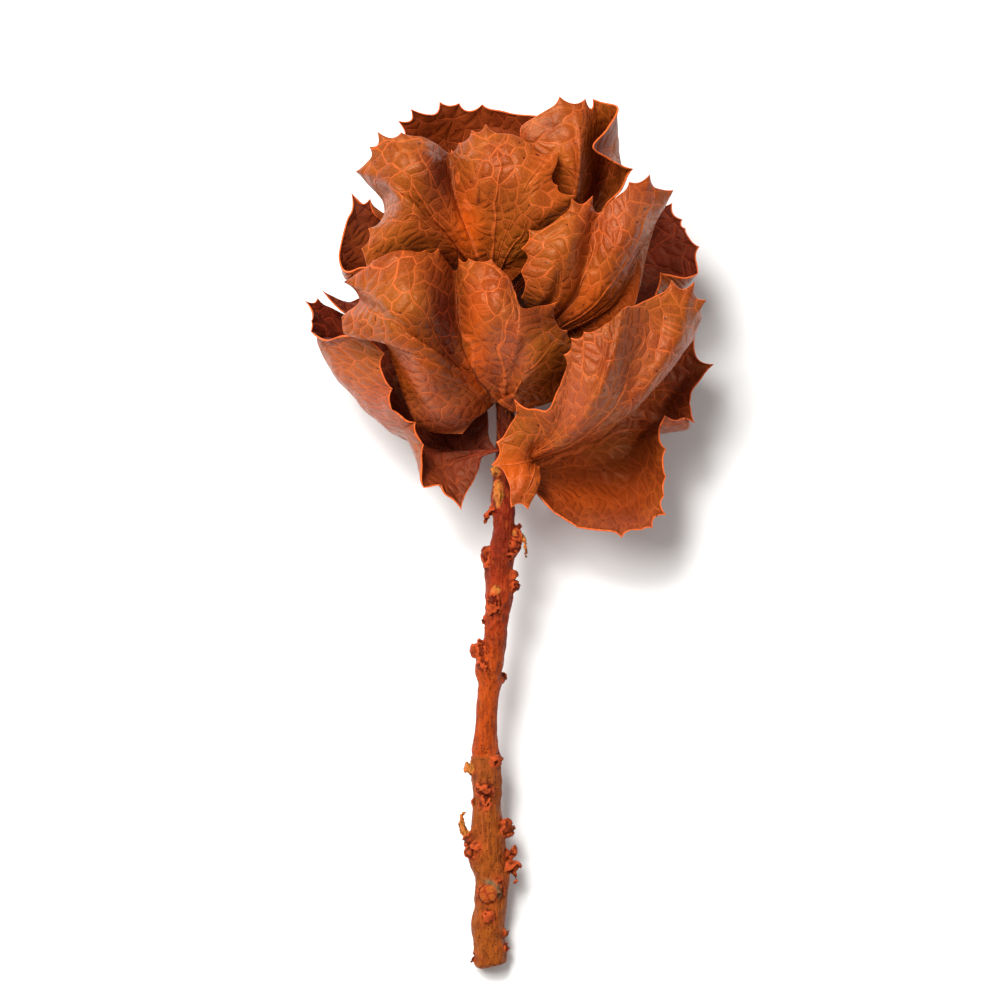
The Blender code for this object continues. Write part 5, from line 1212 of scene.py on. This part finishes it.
def finish_bark(settings):
    """Dyed bark of a woody shoot: dull, ochre brown and streaked near the cut, orange above the ring scar,
    deep red under the head and near black highest up, which is painted shade of the head, with dark
    breathing pores, buff torn fibres, orange knobs with painted shade in their hollows and a grey-green
    crust by the branch scar."""
    names = ("knob", "cut", "pale", "torn", "moss", "height")
    material, tree, field, spot = new_material("dyed_bark", names)
    # streaks 0.9 mm wide and ten times as long; blotches, 6 mm; grain, 0.5 mm
    stretched = put(tree, "Mapping", {}, {"Vector": spot, "Scale": (1.0, 0.1, 1.0)})[0]
    streak, blotch, grain = (
        put(tree, "TexNoise", {}, {"Vector": place, "Scale": 1 / size, "Detail": detail})["Fac"]
        for place, size, detail in ((stretched, 0.0009, 3.0), (spot, 0.006, 4.0), (spot, 0.0005, 3.0))
    )
    # breathing pores 0.3 mm wide, 1.1 mm apart and a little further up the stem
    rows = put(tree, "Mapping", {}, {"Vector": spot, "Scale": (1.0, 0.75, 1.0)})[0]
    pores = put(tree, "TexVoronoi", {}, {"Vector": rows, "Scale": 1 / 0.0011})["Distance"]
    # the branch scar's wood has reddish fissures, 3 mm apart
    split = put(tree, "TexVoronoi", TO_EDGE, {"Vector": spot, "Scale": 1 / 0.003})[0]
    # what is read, from and to which value, and the mask at both
    ramps = (
        ("dull", {}, blotch, 0.45, 0.66, 0.0, 0.5),
        ("lines", {}, streak, 0.5, 0.68, 0.0, 0.6),
        ("light", {}, streak, 0.42, 0.32, 0.0, 0.35),
        ("pore", SMOOTH, pores, 0.12, 0.28, 0.7, 0.0),
        ("knob_shading", {}, field["torn"], -0.55, 0.75, 0.0, 1.0),
        ("fibres", {}, streak, 0.38, 0.58, 0.25, 0.9),
        ("fissure", SMOOTH, split, 0.02, 0.14, 0.75, 0.0),
        ("rough", {}, blotch, 0.0, 1.0, 0.4, 0.7),
    )
    mask = {name: put(tree, "MapRange", kind, dict(zip(RAMP, limits)))[0] for name, kind, *limits in ramps}
    soft, buff, crust = (
        put(tree, "Math", TIMES, {0: part, 1: share})[0]
        for part, share in (
            (field["knob"], 0.85), (mask["fibres"], field["pale"]), (mask["fibres"], field["moss"]),
        )
    )
    # knobs: painted shade, dark in the hollows of the flakes and folds and lighter where they stand highest
    lumps, wood = (
        put(tree, "Mix", RGBA, {0: part, 6: linear(first), 7: linear(second)})[2]
        for part, first, second in ((mask["knob_shading"], "4C1006", "C65024"), (blotch, "A04414", "C2642A"))
    )
    scar = put(tree, "Mix", RGBA, {0: mask["fissure"], 6: wood, 7: linear("8C2410")})[2]
    # bands of colour up the stem: from and to which height, in thousands of steps
    wander = put(tree, "Math", TIMES_PLUS, {0: blotch, 1: 0.02, 2: field["height"]})[0]
    bands = (
        (0.17, 0.22, linear("8A4416")), (0.250, 0.254, tuple(settings.middle_colour)),
        (0.34, 0.40, linear("922A0E")), (0.42, 0.46, tuple(settings.high_colour)),
        # the two highest bands are painted shade: the stem darkened to near black where the head covers it
        (0.50, 0.55, linear("541208")), (0.56, 0.60, linear("340C06")),
    )
    layers = [
        (put(tree, "MapRange", SMOOTH, {"Value": wander, "From Min": low, "From Max": high})[0], band)
        for low, high, band in bands
    ]
    layers += [
        (mask["dull"], linear("64200A")), (mask["lines"], linear("5A210D")),
        (mask["light"], linear("C06024")), (mask["pore"], linear("3C0E08")), (soft, lumps),
        (buff, linear("C67C34")), (field["cut"], scar), (crust, linear("66684A")),
    ]
    colour = tuple(settings.low_colour)
    for part, layer in layers:
        colour = put(tree, "Mix", RGBA, {0: part, 6: colour, 7: layer})[2]
    relief = put(tree, "Math", {"operation": "ADD"}, {0: streak, 1: grain})[0]
    relief = put(tree, "Math", {"operation": "SUBTRACT"}, {0: relief, 1: mask["pore"]})[0]
    bump = put(tree, "Bump", {}, {"Height": relief, "Strength": 0.8, "Distance": 0.0005})[0]
    shader = put(tree, "BsdfPrincipled", {}, {
        "Base Color": colour, "Roughness": mask["rough"], "Normal": bump, "IOR": 1.45,
        "Specular IOR Level": 0.25, "Specular Tint": linear("FFB48C"),
    })
    put(tree, "OutputMaterial", {}, {"Surface": shader[0]})
    return material


def finish_paper(settings):
    """Matt studio paper: nearly white, without gloss, with the faintest grain, 2 mm."""
    material, tree, _, spot = new_material("studio_paper", ())
    grain = put(tree, "TexNoise", {}, {"Vector": spot, "Scale": 1 / 0.002, "Detail": 2.0})["Fac"]
    tone = put(tree, "MapRange", {}, {"Value": grain, "To Min": 0.97, "To Max": 1.0})[0]
    colour = put(tree, "Mix", RGBA, {0: tone, 6: linear("C8C8C6"), 7: tuple(settings.floor_colour)})[2]
    shader = put(tree, "BsdfPrincipled", {}, {"Base Color": colour, "Roughness": 0.9})
    put(tree, "OutputMaterial", {}, {"Surface": shader[0]})
    return material


def colour_choice(name, description, hex_colour):
    return bpy.props.FloatVectorProperty(
        name=name, description=description, size=4, subtype="COLOR", default=linear(hex_colour), min=0, max=1
    )


def length_choice(name, description, default):
    return bpy.props.FloatProperty(name=name, description=description, default=default, unit="LENGTH")


class LeafSettings(bpy.types.PropertyGroup):
    blade_half: length_choice("Half blade", "Half the thickness of a blade between its veins", 0.00028)
    rim_half: length_choice("Half rim", "Half the thickness of the bead along the margin", 0.00037)
    quilt: length_choice("Quilting", "How far the blade bulges between its veins", 0.00025)
    vein_height: length_choice("Vein height", "How far the main veins stand off the blade", 0.00045)
    sway: length_choice("Sway", "How far the blade buckles where it has dried unevenly", 0.0003)
    gloss: bpy.props.FloatProperty(
        name="Roughness", description="Middle roughness of the leaf's skin", default=0.33, min=0.1, max=0.9,
        subtype="FACTOR",
    )
    leaf_colour: colour_choice("Leaf", "Dye between the veins", "923A10")
    vein_colour: colour_choice("Veins", "Dye in the veins", "CE5E28")
    rim_colour: colour_choice("Rim", "Dye in the thick rim", "E2642A")


class StemSettings(bpy.types.PropertyGroup):
    skin: length_choice("Skin", "Size of the cells in which the stem's tubes are joined", 0.0005)
    low_colour: colour_choice("Low bark", "Bark near the cut", "964A14")
    middle_colour: colour_choice("Middle bark", "Bark above the ring scar", "A8400E")
    high_colour: colour_choice("High bark", "Bark under the head", "741A0C")


class StageSettings(bpy.types.PropertyGroup):
    floor_colour: colour_choice("Floor", "Colour of the paper", "F6F6F4")
    key_power: bpy.props.FloatProperty(
        name="Key light", description="Power of the large soft light", default=28.0, unit="POWER"
    )
    kicker_power: bpy.props.FloatProperty(
        name="Kicker", description="Power of the small light that gives the leaves their highlights",
        default=10.0, unit="POWER",
    )
    sky: bpy.props.FloatProperty(
        name="Fill", description="Strength of the light from all round", default=0.4, min=0
    )
    lens: bpy.props.FloatProperty(
        name="Lens", description="Focal length of the camera, millimetres", default=250.0, min=20
    )


class FLOWER_OT_leaves(bpy.types.Operator):
    """Makes the finer leaves and hides the CAD leaves that they stand for"""

    bl_idname = "queen_flower.leaves"
    bl_label = "Make the leaves"

    def execute(self, context):
        settings = context.scene.flower_leaves
        material = finish_leaf(settings)
        chance = random.Random(TOOTH_SEED)
        for number, (name, table) in enumerate(LEAVES.items()):
            teeth = teeth_of(table, chance)
            leaf = closed_leaf("dried_" + name, table, FINISH[name], teeth, settings, FIRST_SEED + number)
            leaf.data.materials.append(material)
            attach(leaf, "root")
            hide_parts(name)
        return {"FINISHED"}


class FLOWER_OT_stem(bpy.types.Operator):
    """Makes the barky stem with its knobs and scars and hides the CAD stem"""

    bl_idname = "queen_flower.stem"
    bl_label = "Make the stem"

    def execute(self, context):
        settings = context.scene.flower_stem
        stem = build_stem(settings)
        stem.data.materials.append(finish_bark(settings))
        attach(stem, "root")
        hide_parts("stem")
        return {"FINISHED"}


class FLOWER_OT_stage(bpy.types.Operator):
    """Lays the paper floor and sets up the soft lights and the camera that looks at the plant's upper
    side"""

    bl_idname = "queen_flower.stage"
    bl_label = "Set the stage"

    def execute(self, context):
        settings = context.scene.flower_stage
        scene = context.scene
        corners = FLOOR_REACH * np.array([(-1, -1, 0), (1, -1, 0), (1, 1, 0), (-1, 1, 0)], float)
        floor = make_piece("paper_floor", corners, np.array([(0, 1, 2, 3)]), {})
        floor.data.materials.append(finish_paper(settings))
        world = bpy.data.worlds.new("studio")
        scene.world = world
        world.use_nodes = True
        tree = world.node_tree
        tree.nodes.clear()
        sky = put(tree, "Background", {}, {"Color": (1, 1, 1, 1), "Strength": settings.sky})
        put(tree, "OutputWorld", {}, {"Surface": sky[0]})
        # the plant's own directions, and the middle of what the camera sees
        angle = floor_plane()[0]
        c, s = math.cos(angle), math.sin(angle)
        right, up, back = np.array([1.0, 0, 0]), np.array([0, c, s]), np.array([0, -s, c])
        middle = lay_down(np.array([VIEW_MIDDLE]))[0]
        for name, size, power, place in (
            ("key", 1.1, settings.key_power, middle - 0.6 * right + 0.6 * up + 1.3 * back),
            ("kicker", 0.4, settings.kicker_power, middle - 0.35 * right + 0.75 * up + 1.2 * back),
        ):
            light = bpy.data.lights.new(name, "AREA")
            light.shape = "DISK"
            light.size = size
            light.energy = power
            lamp = bpy.data.objects.new(name, light)
            lamp.location = place
            lamp.rotation_euler = Vector(tuple(place - middle)).to_track_quat("Z", "Y").to_euler()
            scene.collection.objects.link(lamp)
        lens = bpy.data.cameras.new("camera")
        lens.lens = settings.lens
        lens.sensor_width = SENSOR
        lens.clip_end = 20.0
        camera = bpy.data.objects.new("camera", lens)
        camera.location = middle + back * (VIEW_WIDTH * STEP * settings.lens / SENSOR)
        camera.rotation_euler = (angle, 0.0, 0.0)
        scene.collection.objects.link(camera)
        scene.camera = camera
        scene.view_settings.view_transform = "Standard"
        return {"FINISHED"}


class FLOWER_PT_panel(bpy.types.Panel):
    """Lists the flower's settings and the steps that make it"""

    bl_label = "Dried Queen Flower"
    bl_idname = "FLOWER_PT_panel"
    bl_space_type = "VIEW_3D"
    bl_region_type = "UI"
    bl_category = "Queen Flower"

    def draw(self, context):
        for group, (_, operator) in STEPS.items():
            settings = getattr(context.scene, group)
            box = self.layout.box()
            for name in type(settings).__annotations__:
                box.prop(settings, name)
            box.operator(operator.bl_idname)


# Where the scene keeps each group of settings, with its class and the operator that reads it
STEPS = {
    "flower_leaves": (LeafSettings, FLOWER_OT_leaves),
    "flower_stem": (StemSettings, FLOWER_OT_stem),
    "flower_stage": (StageSettings, FLOWER_OT_stage),
}
CLASSES = (*(cls for step in STEPS.values() for cls in step), FLOWER_PT_panel)


def register():
    for cls in CLASSES:
        bpy.utils.register_class(cls)
    for group, (settings, _) in STEPS.items():
        setattr(bpy.types.Scene, group, bpy.props.PointerProperty(type=settings))


def unregister():
    for group in STEPS:
        delattr(bpy.types.Scene, group)
    for cls in reversed(CLASSES):
        bpy.utils.unregister_class(cls)


def main():
    register()
    bpy.ops.queen_flower.leaves()
    bpy.ops.queen_flower.stem()
    bpy.ops.queen_flower.stage()


if __name__ == "__main__":
    main()
